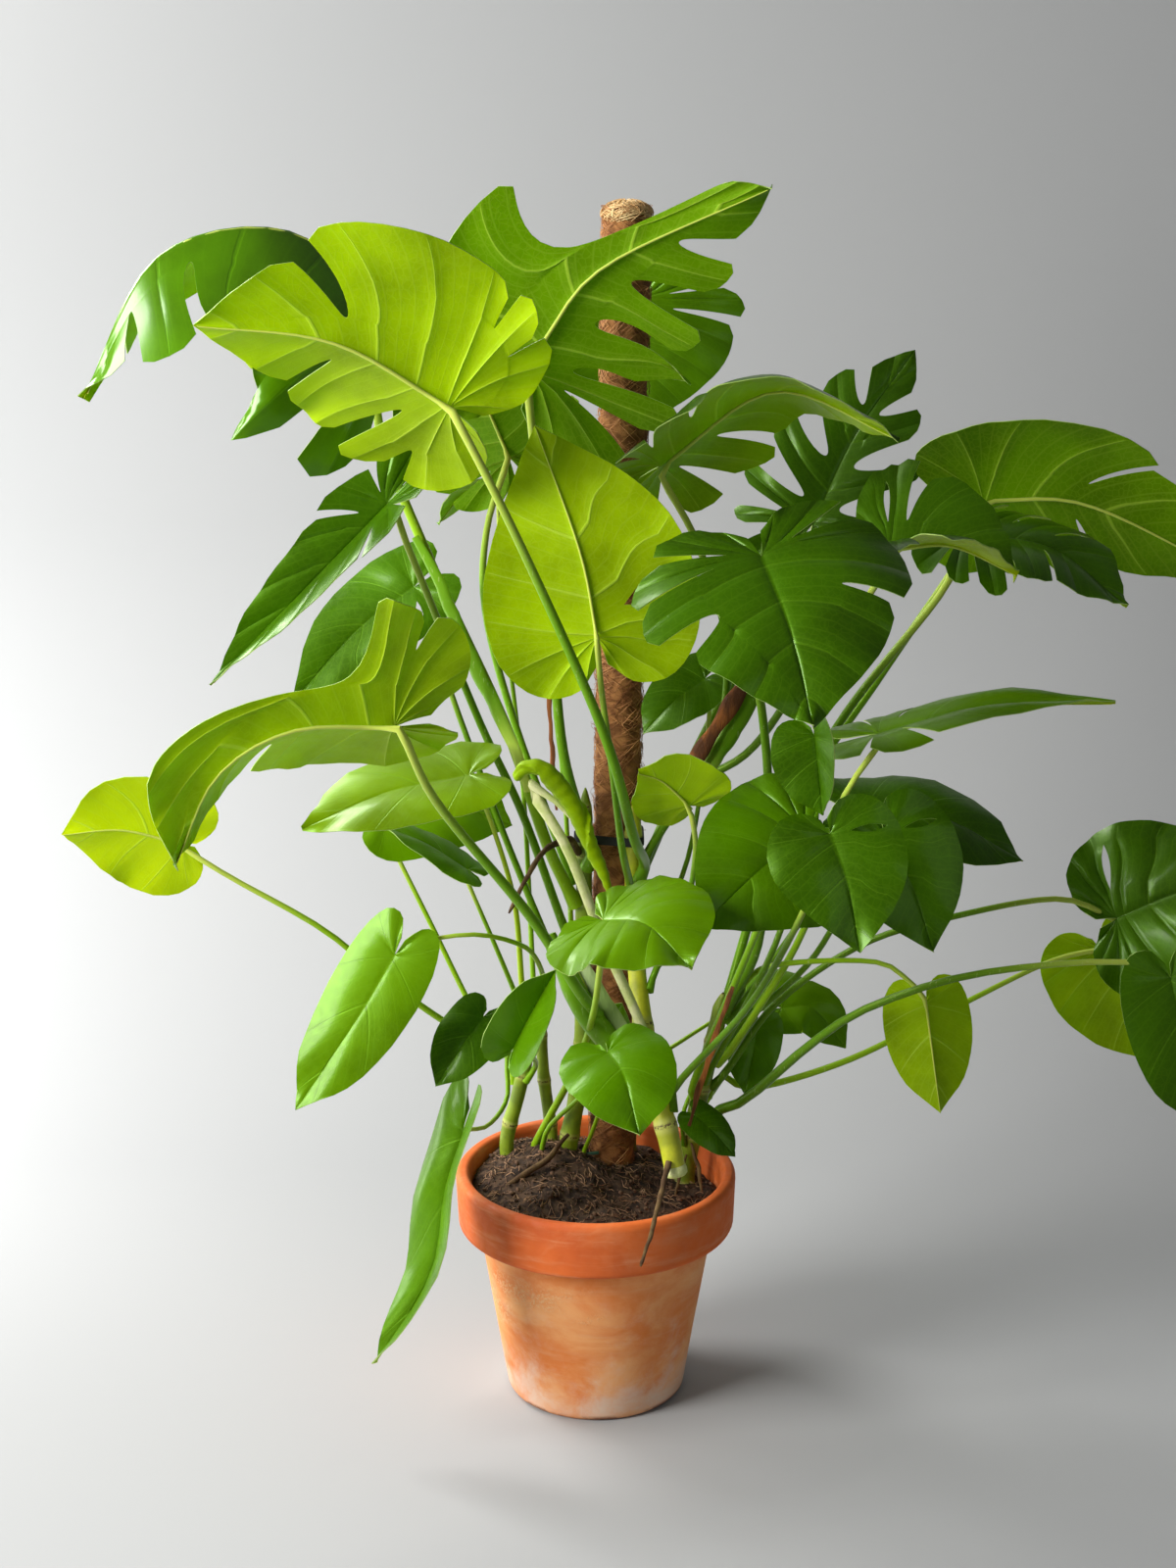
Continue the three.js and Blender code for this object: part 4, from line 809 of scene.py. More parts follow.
class Finish(Nodes):
    """A material round one Principled shader, with constants set on the shader's sockets."""

    def __init__(self, name, **constants):
        self.material = bpy.data.materials.new(name)
        self.material.use_nodes = True
        super().__init__(self.material.node_tree)
        self.shader = self.tree.nodes["Principled BSDF"]
        for key, value in constants.items():
            self.shader.inputs[key.replace("_", " ")].default_value = value

    def give(self, colour, rough, relief, strength, depth):
        """Links colour, roughness and relief, whose depth is in metres, to the shader."""
        bump = self.put("ShaderNodeBump", {"Height": relief, "Strength": strength, "Distance": depth})
        for key, value in (("Base Color", colour), ("Roughness", rough), ("Normal", bump.outputs[0])):
            self.tree.links.new(value, self.shader.inputs[key])
        return self.material


def make_mottle_group():
    """Two colours in soft uneven patches, with fine grain."""
    n = Group("mottle", {"Vector": "Vector", "First": "Color", "Second": "Color", "Scale": "Float",
                         "Low": "Float", "High": "Float"}, {"Color": "Color", "Grain": "Float"})
    vector, scale = n.source["Vector"], n.source["Scale"]
    mask = n.remap(n.noise(vector, scale, 5.0), n.source["Low"], n.source["High"])
    n.give(Color=n.mix(mask, n.source["First"], n.source["Second"]),
           Grain=n.noise(vector, n.times(scale, 14.0), 3.0))


def make_rib_group():
    """The ribs of a leaf: side ribs at the half steps of its growth map, and a fine net between."""
    n = Group("leaf_ribs", {"Growth": "Vector", "Vector": "Vector"},
              {"Side Ribs": "Float", "Net": "Float", "Halo": "Float"})
    out = n.calc("ABSOLUTE", n.part(n.source["Growth"], "Y"))
    wander = n.times(n.calc("SUBTRACT", n.noise(n.source["Vector"], 14.0, 1.0), 0.5), 0.06)
    step = n.calc("ADD", n.part(n.source["Growth"], "X"), wander)
    ratio = n.calc("DIVIDE", n.from_half(step), n.remap(out, 0.0, 1.0, 0.04, 0.012))
    fade = n.remap(out, 0.93, 1.0, 1.0, 0.0)
    lines = n.remap(n.from_half(n.times(step, 4.0)), 0.02, 0.1, 1.0, 0.0)
    cells = {"Vector": n.source["Vector"], "Scale": 160.0}
    walls = n.put("ShaderNodeTexVoronoi", cells, feature="DISTANCE_TO_EDGE").outputs["Distance"]
    net = n.remap(walls, 0.0, 0.12, 1.0, 0.0)
    n.give(Side_Ribs=n.times(n.remap(ratio, 0.35, 1.0, 1.0, 0.0), fade),
           Net=n.calc("MAXIMUM", n.times(lines, 0.7), n.times(net, 0.5)),
           Halo=n.times(n.remap(ratio, 0.8, 4.0, 1.0, 0.0), fade))


def leaf_finish(name, base, vein, ribbed, relief, roughness, scattered, coat):
    """A leaf's skin: tinted base, ribs, faint net and uneven gloss."""
    n = Finish(name, Subsurface_Weight=scattered, Subsurface_Scale=0.004,
               Subsurface_Radius=(0.7, 1.0, 0.25), Coat_Weight=coat, Coat_Roughness=0.17,
               Coat_Tint=rgba(LEAF_COAT), Specular_Tint=rgba(LEAF_SHEEN))
    place = n.place()
    ribs = n.group("leaf_ribs", {"Growth": n.growth(), "Vector": place})
    patches = n.mottle(place, base, [c * 0.72 for c in base], 9.0, 0.3, 0.75)
    # The tint multiplies the leaf colour; on some leaves it is painted shade, glow or sheen
    colour = n.mix(1.0, patches["Color"], n.tint(), "MULTIPLY")
    for mask, share in (("Net", 0.16), ("Halo", 0.18 * ribbed), ("Side Ribs", ribbed)):
        colour = n.mix(n.times(ribs[mask], share), colour, vein)
    height = n.calc("ADD", n.times(ribs["Side Ribs"], relief), n.times(ribs["Net"], 0.18 * relief))
    height = n.calc("ADD", height, n.times(patches["Grain"], 0.12))
    rough = n.remap(patches["Grain"], 0.3, 0.7, roughness - 0.05, roughness + 0.07)
    return n.give(colour, rough, height, 0.35, 0.0012)


def stalk_finish(looks):
    """Stalks and main ribs: green below, pale towards the blade, with fine light flecks."""
    n = Finish("stalk", Subsurface_Weight=0.12, Subsurface_Scale=0.003, Coat_Weight=0.05,
               Specular_Tint=rgba(STALK_SHEEN))
    lower = n.mix(1.0, looks.stalk_colour, n.tint(), "MULTIPLY")
    colour = n.mix(n.remap(n.part(n.growth(), "Y"), 0.62, 1.0), lower, looks.rib_colour)
    flecks = n.remap(n.noise(n.place((1, 1, 0.25)), 420.0, 2.0), 0.62, 0.72)
    flecked = n.mix(n.times(flecks, 0.35), colour, RIB_FLECK)
    return n.give(flecked, n.remap(flecks, 0.0, 1.0, 0.38, 0.55), flecks, 0.2, 0.0004)


def shoot_finish():
    """Shoots: green with pale rings at the nodes and brown papery scars."""
    n = Finish("shoot", Subsurface_Weight=0.05, Subsurface_Scale=0.003)
    patches = n.mottle(n.place(), *SHOOT_GREENS, 30.0, 0.4, 0.62)
    grain = patches["Grain"]
    tinted = n.mix(1.0, patches["Color"], n.tint(), "MULTIPLY")
    ring = n.from_half(n.part(n.growth(), "Y"))
    ringed = n.mix(n.remap(ring, 0.03, 0.1, 0.5, 0.0), tinted, NODE_RING)
    scar = n.times(n.remap(ring, 0.0, 0.035, 1.0, 0.0), n.remap(grain, 0.42, 0.55))
    scarred = n.mix(scar, ringed, NODE_SCAR)
    return n.give(scarred, n.remap(grain, 0.3, 0.7, 0.42, 0.62), grain, 0.3, 0.0008)


def fibre_finish(name, first, second, scale, roughness=0.85, stretch=(1, 1, 1)):
    """Dry fibrous stuff in two browns, for coir, roots, husks and soil."""
    n = Finish(name, Specular_IOR_Level=0.25)
    patches = n.mottle(n.place(stretch), first, second, scale, 0.38, 0.62)
    rough = n.remap(patches["Grain"], 0.3, 0.7, roughness - 0.1, min(1.0, roughness + 0.1))
    return n.give(patches["Color"], rough, patches["Grain"], 0.6, 0.0015)


def clay_finish(looks):
    """Fired clay: orange rim, cloudy body with lime bloom, a rough patch and a dark foot."""
    n = Finish("terracotta", Specular_IOR_Level=0.3)
    place = n.place()
    height = n.part(place, "Z")
    clay = n.mottle(place, looks.clay_colour, DEEP_CLAY, 8.0, 0.35, 0.7)
    clouds = n.noise(n.place((1, 1, 1.6)), 10.0, 6.0, 0.62, 0.6)
    streaks = n.noise(n.place((1, 1, 9)), 14.0, 5.0, 0.6)
    patches = n.noise(place, 22.0, 7.0, 0.7, 0.4)

    body = n.remap(height, 0.182, 0.168)
    colour = n.mix(body, clay["Color"], BODY_CLAY)
    colour = n.mix(n.times(body, n.remap(clouds, 0.36, 0.68, 0.0, 0.8)), colour, PALE_CLAY)
    colour = n.mix(n.remap(streaks, 0.5, 0.75, 0.0, 0.3), colour, CLAY_STREAK)

    low = n.times(n.remap(height, 0.075, 0.0), 0.32)
    bloom = n.remap(n.calc("ADD", patches, low), 0.5, 0.95)
    above_foot = n.times(n.remap(height, 0.17, 0.09), n.remap(height, 0.0, 0.012, 0.35, 1.0))
    colour = n.mix(n.times(n.times(bloom, above_foot), 0.8), colour, LIME_BLOOM)

    grit = n.remap(n.noise(place, 330.0, 2.0, 0.7), 0.48, 0.62)
    band = n.times(n.remap(height, 0.075, 0.11), n.remap(height, 0.165, 0.13))
    rough_patch = n.times(n.times(band, n.remap(n.noise(n.place((1, 1, 1.5)), 9.0, 3.0), 0.5, 0.6)), grit)
    colour = n.mix(n.times(rough_patch, 0.7), colour, CLAY_GRIT)

    foot = n.times(n.remap(height, 0.008, 0.003), n.remap(patches, 0.42, 0.55))
    colour = n.mix(n.times(foot, 0.75), colour, DARK_FOOT)
    rubbed = n.times(n.remap(height, 0.182, 0.19), n.remap(clouds, 0.5, 0.7, 0.0, 0.4))
    colour = n.mix(rubbed, colour, RUBBED_CLAY)

    relief = n.calc("ADD", n.times(clay["Grain"], 0.45), n.times(rough_patch, 1.4))
    relief = n.calc("ADD", relief, n.times(streaks, 0.5))
    return n.give(colour, n.remap(clay["Grain"], 0.3, 0.7, 0.6, 0.85), relief, 0.5, 0.0013)


def strap_finish():
    """Black woven strap with a fine rib."""
    n = Finish("strap", Specular_IOR_Level=0.3)
    threads = {"Vector": n.place(), "Scale": 300.0, "Distortion": 0.6}
    weave = n.put("ShaderNodeTexWave", threads, bands_direction="Z").outputs["Fac"]
    colour = n.mix(weave, *STRAP_BLACKS)
    return n.give(colour, n.remap(weave, 0.0, 1.0, 0.55, 0.75), weave, 0.4, 0.0004)


def ground_finish():
    """Matt pale paper with the faintest unevenness, seen through from its rear."""
    n = Finish("paper_ground", Specular_IOR_Level=0.1, Roughness=0.9)
    paper = n.mix(n.noise(n.place(), 0.8, 2.0), *PAPER_GREYS)
    n.tree.links.new(paper, n.shader.inputs["Base Color"])
    rear = n.put("ShaderNodeNewGeometry").outputs["Backfacing"]
    n.tree.links.new(n.calc("SUBTRACT", 1.0, rear), n.shader.inputs["Alpha"])
    return n.material


def make_materials():
    """Makes every material and shared group once, and returns the plant's settings."""
    looks = bpy.context.scene.plant_looks
    if not MATERIALS:
        make_mottle_group()
        make_rib_group()
        MATERIALS.update({key: fibre_finish(*values) for key, values in FIBRES.items()})
        MATERIALS.update(
            upper=leaf_finish("leaf_upper", looks.upper_colour, *UPPER_SKIN, coat=0.22),
            waxy=leaf_finish("leaf_waxy", looks.upper_colour, *UPPER_SKIN, coat=1.0),
            under=leaf_finish("leaf_under", looks.under_colour, *UNDER_SKIN, coat=0.0),
            stalk=stalk_finish(looks),
            stem=shoot_finish(),
            clay=clay_finish(looks),
            strap=strap_finish(),
            ground=ground_finish(),
        )
    return looks


# Leaves

MARGINS = {
    name: smooth([(x, y, 0) for x, y in points], 60)[:, :2]
    for name, points in (("split", SPLIT_MARGIN), ("heart", HEART_MARGIN))
}


def both(value):
    """A value for each half of a leaf."""
    return value if isinstance(value, tuple) else (value, value)


class Blade:
    """The bent sheet of one leaf: rows from its rib to its margin, by columns along the margin."""

    def __init__(self, leaf):
        self.leaf = leaf
        self.cuts = CUTS[leaf.cuts]
        self.margin = MARGINS["split" if self.cuts else "heart"]
        self.half = leaf.width / 2
        self.large = leaf.width > LARGE_LEAF
        self.fold = np.radians(both(leaf.fold))
        self.curl = np.radians(both(leaf.curl))
        self.seed = leaf.spine[0][0] + leaf.width
        self.spine, self.length = walk(leaf.spine, SPINE_STEPS)
        self.along = unit(np.gradient(self.spine, axis=0))
        share = np.linspace(0, 1, SPINE_STEPS + 1)[:, None]
        face = np.array(leaf.face) * (1 - share) + np.array(leaf.face_tip or leaf.face) * share
        self.up = unit(face - self.along * np.sum(face * self.along, 1, keepdims=True))
        self.left = np.cross(self.up, self.along)
        self.stations = [0.0, *[cut[0] for cut in self.cuts], 1.0]
        self.places, self.lobes, self.growth = self.lay_columns()
        self.rows = self.lay_rows()

    def lay_columns(self):
        """The place of each column along the margin, its lobe and its growth, with ribs at half steps."""
        columns = []
        base = 0
        for lobe, (start, end) in enumerate(zip(self.stations, self.stations[1:])):
            ribs = max(1, round((end - start) / (LARGE_SPACING if self.large else SMALL_SPACING)))
            thin = 1.0 / self.length / (end - start) * ribs
            beside_rib = (0.5 - thin, 0.5, 0.5 + thin) if self.large else (0.5,)
            offsets = (0, 0.25, *beside_rib, 0.75)
            for share in [*[(j + offset) / ribs for j in range(ribs) for offset in offsets], 1.0]:
                columns.append((start + (end - start) * share, lobe, base + share * ribs))
            base += ribs
        return np.array(columns).T

    def lay_rows(self):
        """The rows' shares of the way to the margin, closer together where cuts start."""
        rows = LARGE_ROWS if self.large else SMALL_ROWS
        wanted = sorted({start for cut in self.cuts for start in (cut[1], *cut[4:])})
        extra = [start + step for start in wanted for step in CUT_ROWS]
        kept = [row for row in rows if all(abs(row - e) > CLOSEST_ROWS for e in extra)]
        return np.array(sorted({round(row, 4) for row in [*kept, *extra] if row <= 1}))

    def frame_at(self, u):
        """The spine's point, direction, upper side and left side at shares of its length."""
        at = np.clip(u, 0, 1) * SPINE_STEPS
        return [read(source, at) for source in (self.spine, self.along, self.up, self.left)]

    def margin_at(self, s):
        """Points of the margin at shares of its way from the notch to the tip."""
        return read(self.margin, np.clip(s, 0, 1) * (len(self.margin) - 1))

    def bend(self, x, y, side, lift):
        """Bends flat leaf coordinates round the spine, the fold and the curl."""
        point, along, up, left = self.frame_at(x)
        point = point + along * (np.minimum(x, 0) * self.length)[..., None]
        radius = self.half / max(self.curl[side], 0.01)
        turn = self.fold[side] - y * self.half * self.leaf.sides[side] / radius
        across = radius * (math.sin(self.fold[side]) - np.sin(turn))
        rise = radius * (np.cos(turn) - math.cos(self.fold[side]))
        sign = 1 if side == 0 else -1
        return point + left * (sign * across)[..., None] + up * (rise + lift)[..., None]

    def opening(self, index, side):
        """How far a cut stands open at each row, from 0 to 1; nothing where this half has no cut."""
        t = self.rows
        cut = self.cuts[index]
        if not cut[2 + side]:
            return t * 0
        depth = cut[1]
        if len(cut) > 4:
            slit = np.sin(np.pi * np.clip((t - depth) / (cut[4] - depth), 0, 1))
            return np.where((t > depth) & (t < cut[4]), slit, 0)
        return np.sqrt(np.clip((t - depth) / (1 - depth), 0, 1))

    def shift(self, index, side):
        """Half the gap of a cut at each row, as a share of the margin."""
        s = self.cuts[index][0]
        step = 0.02
        near, far = self.margin_at(np.array([s - step, s + step]))
        run = math.hypot((far[0] - near[0]) * self.length, (far[1] - near[1]) * self.half)
        speed = run / (2 * step)
        scale = speed * self.rows + self.length / 0.7 * (1 - self.rows)
        return self.cuts[index][2 + side] * self.opening(index, side) / 2 / scale

    def sway(self, side):
        """How far each lobe swings up or down, shared with its neighbour where no cut parts them."""
        last = len(self.stations) - 2
        swings = [jitter(self.seed + lobe, side) for lobe in range(last + 1)]
        result = np.zeros((len(self.rows), len(self.places)))
        for lobe, mine in enumerate(swings):
            here = self.lobes == lobe
            start, end = self.stations[lobe:lobe + 2]
            share = ((self.places[here] - start) / (end - start))[None, :]
            value = np.full((len(self.rows), here.sum()), mine)
            below, above = (lobe - 1, lobe - 1, (1 - share) ** 2), (lobe + 1, lobe, share ** 2)
            for neighbour, cut, weight in (below, above):
                if 0 <= neighbour <= last:
                    joined = 1 - np.clip(self.opening(cut, side) * 1.5, 0, 1)
                    value = value + joined[:, None] * weight * ((mine + swings[neighbour]) / 2 - mine)
            result[:, here] = value
        return result

    def outline(self, side):
        """Each point's share of the margin's way and of the way out, parted at the cuts."""
        t = self.rows
        own = [i for i, cut in enumerate(self.cuts) if cut[2 + side]]
        s = np.zeros((len(t), len(self.places)))
        back = np.zeros_like(s)
        corner = np.zeros_like(s)
        for column, (place, lobe) in enumerate(zip(self.places, self.lobes)):
            before = max((i for i in own if i < lobe), default=None)
            after = min((i for i in own if i >= lobe), default=None)
            start = 0.0 if before is None else self.stations[before + 1]
            end = 1.0 if after is None else self.stations[after + 1]
            low = start if before is None else start + self.shift(before, side)
            high = end if after is None else end - self.shift(after, side)
            share = (place - start) / (end - start)
            s[:, column] = low + (high - low) * share
            if before is not None and len(self.cuts[before]) < 5:
                back[:, column] = LEAN * (1 - share) ** 2 * t * self.opening(before, side)
                corner[:, column] += ROUNDING * max(0, 1 - (place - start) / CORNER) ** 2 * t ** 8
            if after is not None and len(self.cuts[after]) < 5:
                corner[:, column] += ROUNDING * max(0, 1 - (end - place) / CORNER) ** 2 * t ** 8
        return s, t[:, None] * (1 - back) * (1 - corner)

    def relief(self, side, s, r):
        """How far each point lies above or below the smooth sheet."""
        t = self.rows[:, None]
        width = self.leaf.width
        wave = WAVE * width * self.leaf.wave
        swing = wave * 2 * self.sway(side) * r * r
        ripple = wave * 0.5 * r * r * np.sin(23 * s + self.seed + 2 * side)
        away = np.abs(self.growth - np.floor(self.growth) - 0.5)[None, :]
        puff = PUFF * width * np.sin(np.pi * away) ** 0.8 * (3.2 * t ** 1.5 * (1.15 - t))
        groove = np.where(away < 0.001, SIDE_GROOVE * (1 - 0.7 * t) * np.clip(t * 8, 0, 1), 0)
        ruffle = RUFFLE * width * t ** 4 * np.sin(61 * s + self.seed * 1.7 + side)
        middle = MIDDLE_GROOVE * width * np.clip(1 - t / 0.05, 0, 1)
        return swing + ripple + puff - groove + ruffle - middle

    def side_points(self, side):
        """The points of one half of the blade, rows by columns by 3."""
        s, r = self.outline(side)
        edge = self.margin_at(s)
        rib = np.clip((s - FAN) / (1 - FAN), 0, 1) ** 1.5
        x = rib + (edge[..., 0] - rib) * (0.65 * r + 0.35 * r * r)
        return self.bend(x, edge[..., 1] * r, side, self.relief(side, s, r))

    def open_cells(self):
        """The cells of the grid that lie in a cut."""
        rows = len(self.rows)
        cells = np.zeros((2 * rows - 2, len(self.places) - 1), bool)
        for index in range(len(self.cuts)):
            column = int(np.searchsorted(self.lobes, index, side="right")) - 1
            for side in (0, 1):
                opened = self.opening(index, side) > 0.001
                gap = np.nonzero(opened[:-1] | opened[1:])[0]
                cells[rows - 2 - gap if side else rows - 1 + gap, column] = True
        return cells

    def build(self, name):
        """The blade as a thick sheet with its upper, under and edge materials."""
        left, right = [self.side_points(side) for side in (0, 1)]
        signed = np.concatenate([-self.rows[:0:-1], self.rows])
        uvs = np.stack(np.broadcast_arrays(self.growth[None, :], signed[:, None]), -1)
        piece = lay_grid(name, np.concatenate([right[:0:-1], left]), uvs)
        cells = self.open_cells()
        bpy.ops.object.mode_set(mode="EDIT")
        bpy.ops.mesh.select_all(action="DESELECT")
        bpy.ops.object.mode_set(mode="OBJECT")
        piece.data.polygons.foreach_set("select", cells.reshape(-1))
        bpy.ops.object.mode_set(mode="EDIT")
        if cells.any():
            bpy.ops.mesh.delete(type="FACE")
        bpy.ops.mesh.select_all(action="SELECT")
        bpy.ops.mesh.remove_doubles(threshold=0.05 * MM)
        bpy.ops.object.mode_set(mode="OBJECT")
        paint(piece, "waxy" if self.leaf.waxy else "upper", "under", "edge")
        apply_modifier(piece, "SOLIDIFY", thickness=LEAF_THICKNESS * MM, offset=0.0, material_offset=1,
                       material_offset_rim=2)
        return piece


def on_stem(name, height):
    """The point on a stem's axis at a height, its direction and the stem's radius there."""
    stem = STEMS[name]
    way, _ = walk(stem["axis"], STEM_STEPS)
    along = unit(np.gradient(way, axis=0))
    at = min(range(len(way)), key=lambda i: abs(way[i][2] - height))
    return way[at], along[at], taper(stem["radius"], stem["end"], at / STEM_STEPS)


def seat_on(foot, radius):
    """Where a stalk or root leaves its stem or the soil, and a point a little further up."""
    if foot[0] == "soil":
        return [np.array([*foot[1:], STALK_FOOT + rise]) for rise in (0.0, 40.0)]
    centre, along, stem_radius = on_stem(foot[0], foot[1])
    away = np.array(ring_point(1, math.radians(foot[2])))
    away = unit(away - along * (away @ along))
    seat = centre + away * (stem_radius + 0.2 * radius)
    return [seat, seat + away * (0.8 * radius + 8) + along * 24]


def leaf_stalk(name, leaf, blade):
    """A leaf's stalk, its knee below the blade and the main rib that runs on under the blade."""
    end = leaf.end
    joint, along, up, _ = [value[0] for value in blade.frame_at(np.array([0.0]))]
    knee = 4 * end
    bend = joint - up * knee - along * 0.3 * knee
    hold = joint - up * 0.4 * end + along * 2 * end
    steps = 30 if blade.large else 18
    way, length = walk([*seat_on(leaf.foot, leaf.radius), *leaf.stalk, bend, hold], steps)
    share = np.linspace(0, 1, steps + 1)
    from_joint = (1 - share) * length
    radii = taper(leaf.radius, end, share)
    radii = radii * (1 + 0.12 * np.exp(-(((from_joint - 2.2 * knee) / (0.8 * knee)) ** 2)))
    radii = radii * (1 + 0.35 * np.exp(-share * length / (2.2 * leaf.radius)))
    u = np.linspace(min(0.3, 3.4 * end / blade.length), 0.985, 14)
    point, _, under, _ = blade.frame_at(u)
    thin = end * (0.62 - 0.5 * u)
    rib = point - under * (MIDDLE_GROOVE * leaf.width + 0.3 + 0.72 * thin)[:, None]
    way = np.concatenate([way[:-1], rib])
    radii = np.concatenate([radii[:-1], thin])
    shares = np.concatenate([share[:-1], 1 + u])
    piece = tube(name, way, radii, 12 if blade.large else 8, shares=shares)
    return paint(piece, "cut" if leaf.roll else "stalk")


def rolled_blade(name, leaf):
    """A new leaf that is still rolled up, its margin wound round it like a screw."""
    steps, sides, turns = 70, 36, 1.9
    way, _ = walk(leaf.roll, steps)
    share = np.linspace(0, 1, steps + 1)
    radii = 2.5 + 6.5 * np.sin(np.pi * share ** 0.7) ** 0.8 + 0.35 * np.sin(share * 95)
    radii[-2:] *= (0.7, 0.4)
    rings = sweep(way, radii, sides)
    turn = np.linspace(0, 1, sides + 1)[None, :] - turns * share[:, None]
    wound = 0.72 + 0.46 * (turn % 1.0) ** 0.8
    centres = way[:, None, :]
    rings[1:-1] = centres + (rings[1:-1] - centres) * wound[..., None]
    around, along = np.meshgrid(np.linspace(0, 1, sides + 1), np.linspace(0, 1, steps + 3))
    return paint(close_up(lay_grid(name, rings, np.stack([around, along], -1))), "under")


def make_leaf(name):
    """One leaf: blade, stalk and rib as one piece."""
    leaf = LEAVES[name]
    blade = Blade(leaf)
    stalk = leaf_stalk(name + "_stalk", leaf, blade)
    sheet = rolled_blade(name, leaf) if leaf.roll else blade.build(name)
    piece = join([sheet, stalk], name)
    change = 1 + 0.12 * jitter(blade.seed, 5)
    # Some tones paint shade, glow from behind or sheen into the leaf's colours
    dye(piece, *[[channel * change for channel in side] for side in TONES[leaf.tint or leaf.tone]])
    settle(piece, SLOTS[leaf.tone], "leaf_" + name)


# Pot, soil and pole

def make_pot():
    """The terracotta pot, thrown slightly uneven, with softened edges and its drainage holes."""
    low, high = np.array(POT_OUTER[2:4], float)
    body = [low + (high - low) * f for f in (0.2, 0.4, 0.6, 0.8)]
    profile = np.array([*POT_OUTER[:3], *body, *POT_OUTER[3:], *POT_INNER], float)
    angles = np.linspace(0, TURN, POT_SIDES + 1)
    points = np.zeros((len(profile), POT_SIDES + 1, 3))
    points[..., 0] = profile[:, :1] * np.cos(angles)
    points[..., 1] = profile[:, :1] * np.sin(angles)
    points[..., 2] = profile[:, 1:]
    piece = close_up(lay_grid("terracotta_pot", points))
    apply_modifier(piece, "BEVEL", width=POT_EDGE * MM, segments=3, limit_method="ANGLE",
                   angle_limit=math.radians(25))
    for vertex in piece.data.vertices:
        out = Vector((vertex.co.x, vertex.co.y, 0))
        wobble = sum(noise.noise(vertex.co * scale) * swing for scale, swing in POT_WOBBLE)
        vertex.co += out.normalized() * wobble * MM
    for i in range(POT_HOLES):
        place = [value * MM for value in ring_point(POT_HOLE_RING, TURN * (i + 0.25) / POT_HOLES)]
        bpy.ops.object.select_all(action="DESELECT")
        bpy.ops.mesh.primitive_cylinder_add(
            vertices=24, radius=POT_HOLE_RADIUS * MM, depth=40 * MM, location=place)
        cutter = bpy.context.object
        apply_modifier(piece, "BOOLEAN", operation="DIFFERENCE", object=cutter, solver="EXACT")
        bpy.data.objects.remove(cutter)
    piece.data.materials.clear()
    settle(paint(piece, "clay"), "terracotta", "pot", angle=40)


def soil_top(x, y):
    """The clumpy surface of the soil in mm, mounded round the stems."""
    away = ((x - SOIL_MOUND_AT[0]) ** 2 + (y - SOIL_MOUND_AT[1]) ** 2) / (2 * SOIL_MOUND_SPREAD ** 2)
    ripple = SOIL_RIPPLE * math.sin(x / 17 + 1) * math.cos(y / 13)
    clumps = SOIL_CLUMP * noise.fractal(Vector((x / 9, y / 9, 0)), 0.6, 2.1, 4)
    humps = SOIL_HUMP * noise.noise(Vector((x / 30, y / 30, 7)))
    return SOIL_EDGE + SOIL_MOUND * math.exp(-away) + ripple + clumps + humps


def any_place(reach):
    """A random place on the soil within a share of its radius."""
    radius = SOIL_RADIUS * reach * math.sqrt(random.random())
    return ring_point(radius, random.uniform(0, TURN))[:2]


def make_soil():
    """The soil: a clumpy mound with crumbs, bits of fibre and a green chip."""
    random.seed(SOIL_SEED)
    looks = make_materials()
    rings, sides = 34, 110
    points = np.zeros((rings + 3, sides + 1, 3))
    for k in range(sides + 1):
        angle = TURN * (k % sides) / sides
        for i in range(rings + 1):
            x, y, _ = ring_point(SOIL_RADIUS * i / rings, angle)
            points[i, k] = (x, y, soil_top(x, y) - (SOIL_LIP if i == rings else 0))
        points[rings + 1, k] = ring_point(SOIL_FLOOR_RADIUS, angle, SOIL_FLOOR)
        points[rings + 2, k] = (0, 0, SOIL_FLOOR - 2)
    ground = paint(close_up(lay_grid("soil_mound", points)), "soil")

    bpy.ops.object.select_all(action="DESELECT")
    bpy.ops.mesh.primitive_ico_sphere_add(subdivisions=1, radius=MM)
    places = []
    for _ in range(looks.crumbs):
        x, y = any_place(0.97)
        size = random.choice(SOIL_GRAINS) * random.uniform(0.7, 1.2)
        sizes = np.array([size * random.uniform(0.7, 1.4), size, size * random.uniform(0.5, 0.9)])
        turn = Vector((random.random(), random.random(), random.random())).to_track_quat("Z", "Y")
        places.append((np.array([x, y, soil_top(x, y) + size * 0.25]), sizes, turn))
    crumbs = paint(scatter("soil_crumbs", bpy.context.object, places), "crumb")

    ways = []
    for _ in range(looks.soil_fibres):
        x, y = any_place(0.93)
        turn = random.uniform(0, TURN)
        step = random.uniform(1.2, 4.5)
        way = []
        for _ in range(5):
            if math.hypot(x, y) > SOIL_RADIUS * 0.97:
                break
            way.append((x, y, soil_top(x, y) + random.uniform(0.6, 2.6)))
            turn += random.uniform(-0.6, 0.6)
            x += step * math.cos(turn)
            y += step * math.sin(turn)
        if len(way) > 3:
            ways.append(np.array(way))
    bits = paint(strands("soil_fibres", ways, PEAT_FIBRE), "fibre")

    lying = np.array(GREEN_CHIP) + (0, 0, soil_top(*GREEN_CHIP[1][:2]) + 2.6)
    chip = paint(tube("green_chip", lying, np.array(GREEN_CHIP_RADII), 8, 0.4), "chip")
    settle(join([ground, crumbs, bits, chip], "peat_soil"), "soil", "soil")


def pole_frame(z, radius, angle):
    """A point round the pole at a height, a distance from its axis and an angle."""
    return np.array([*pole_at(z), 0.0]) + ring_point(radius, angle, z)


def coir_strands(name, finish, count, radius, draw):
    """Fibres of the coir, each drawn at random as a way."""
    return paint(strands(name, [np.array(draw()) for _ in range(count)], radius), finish)


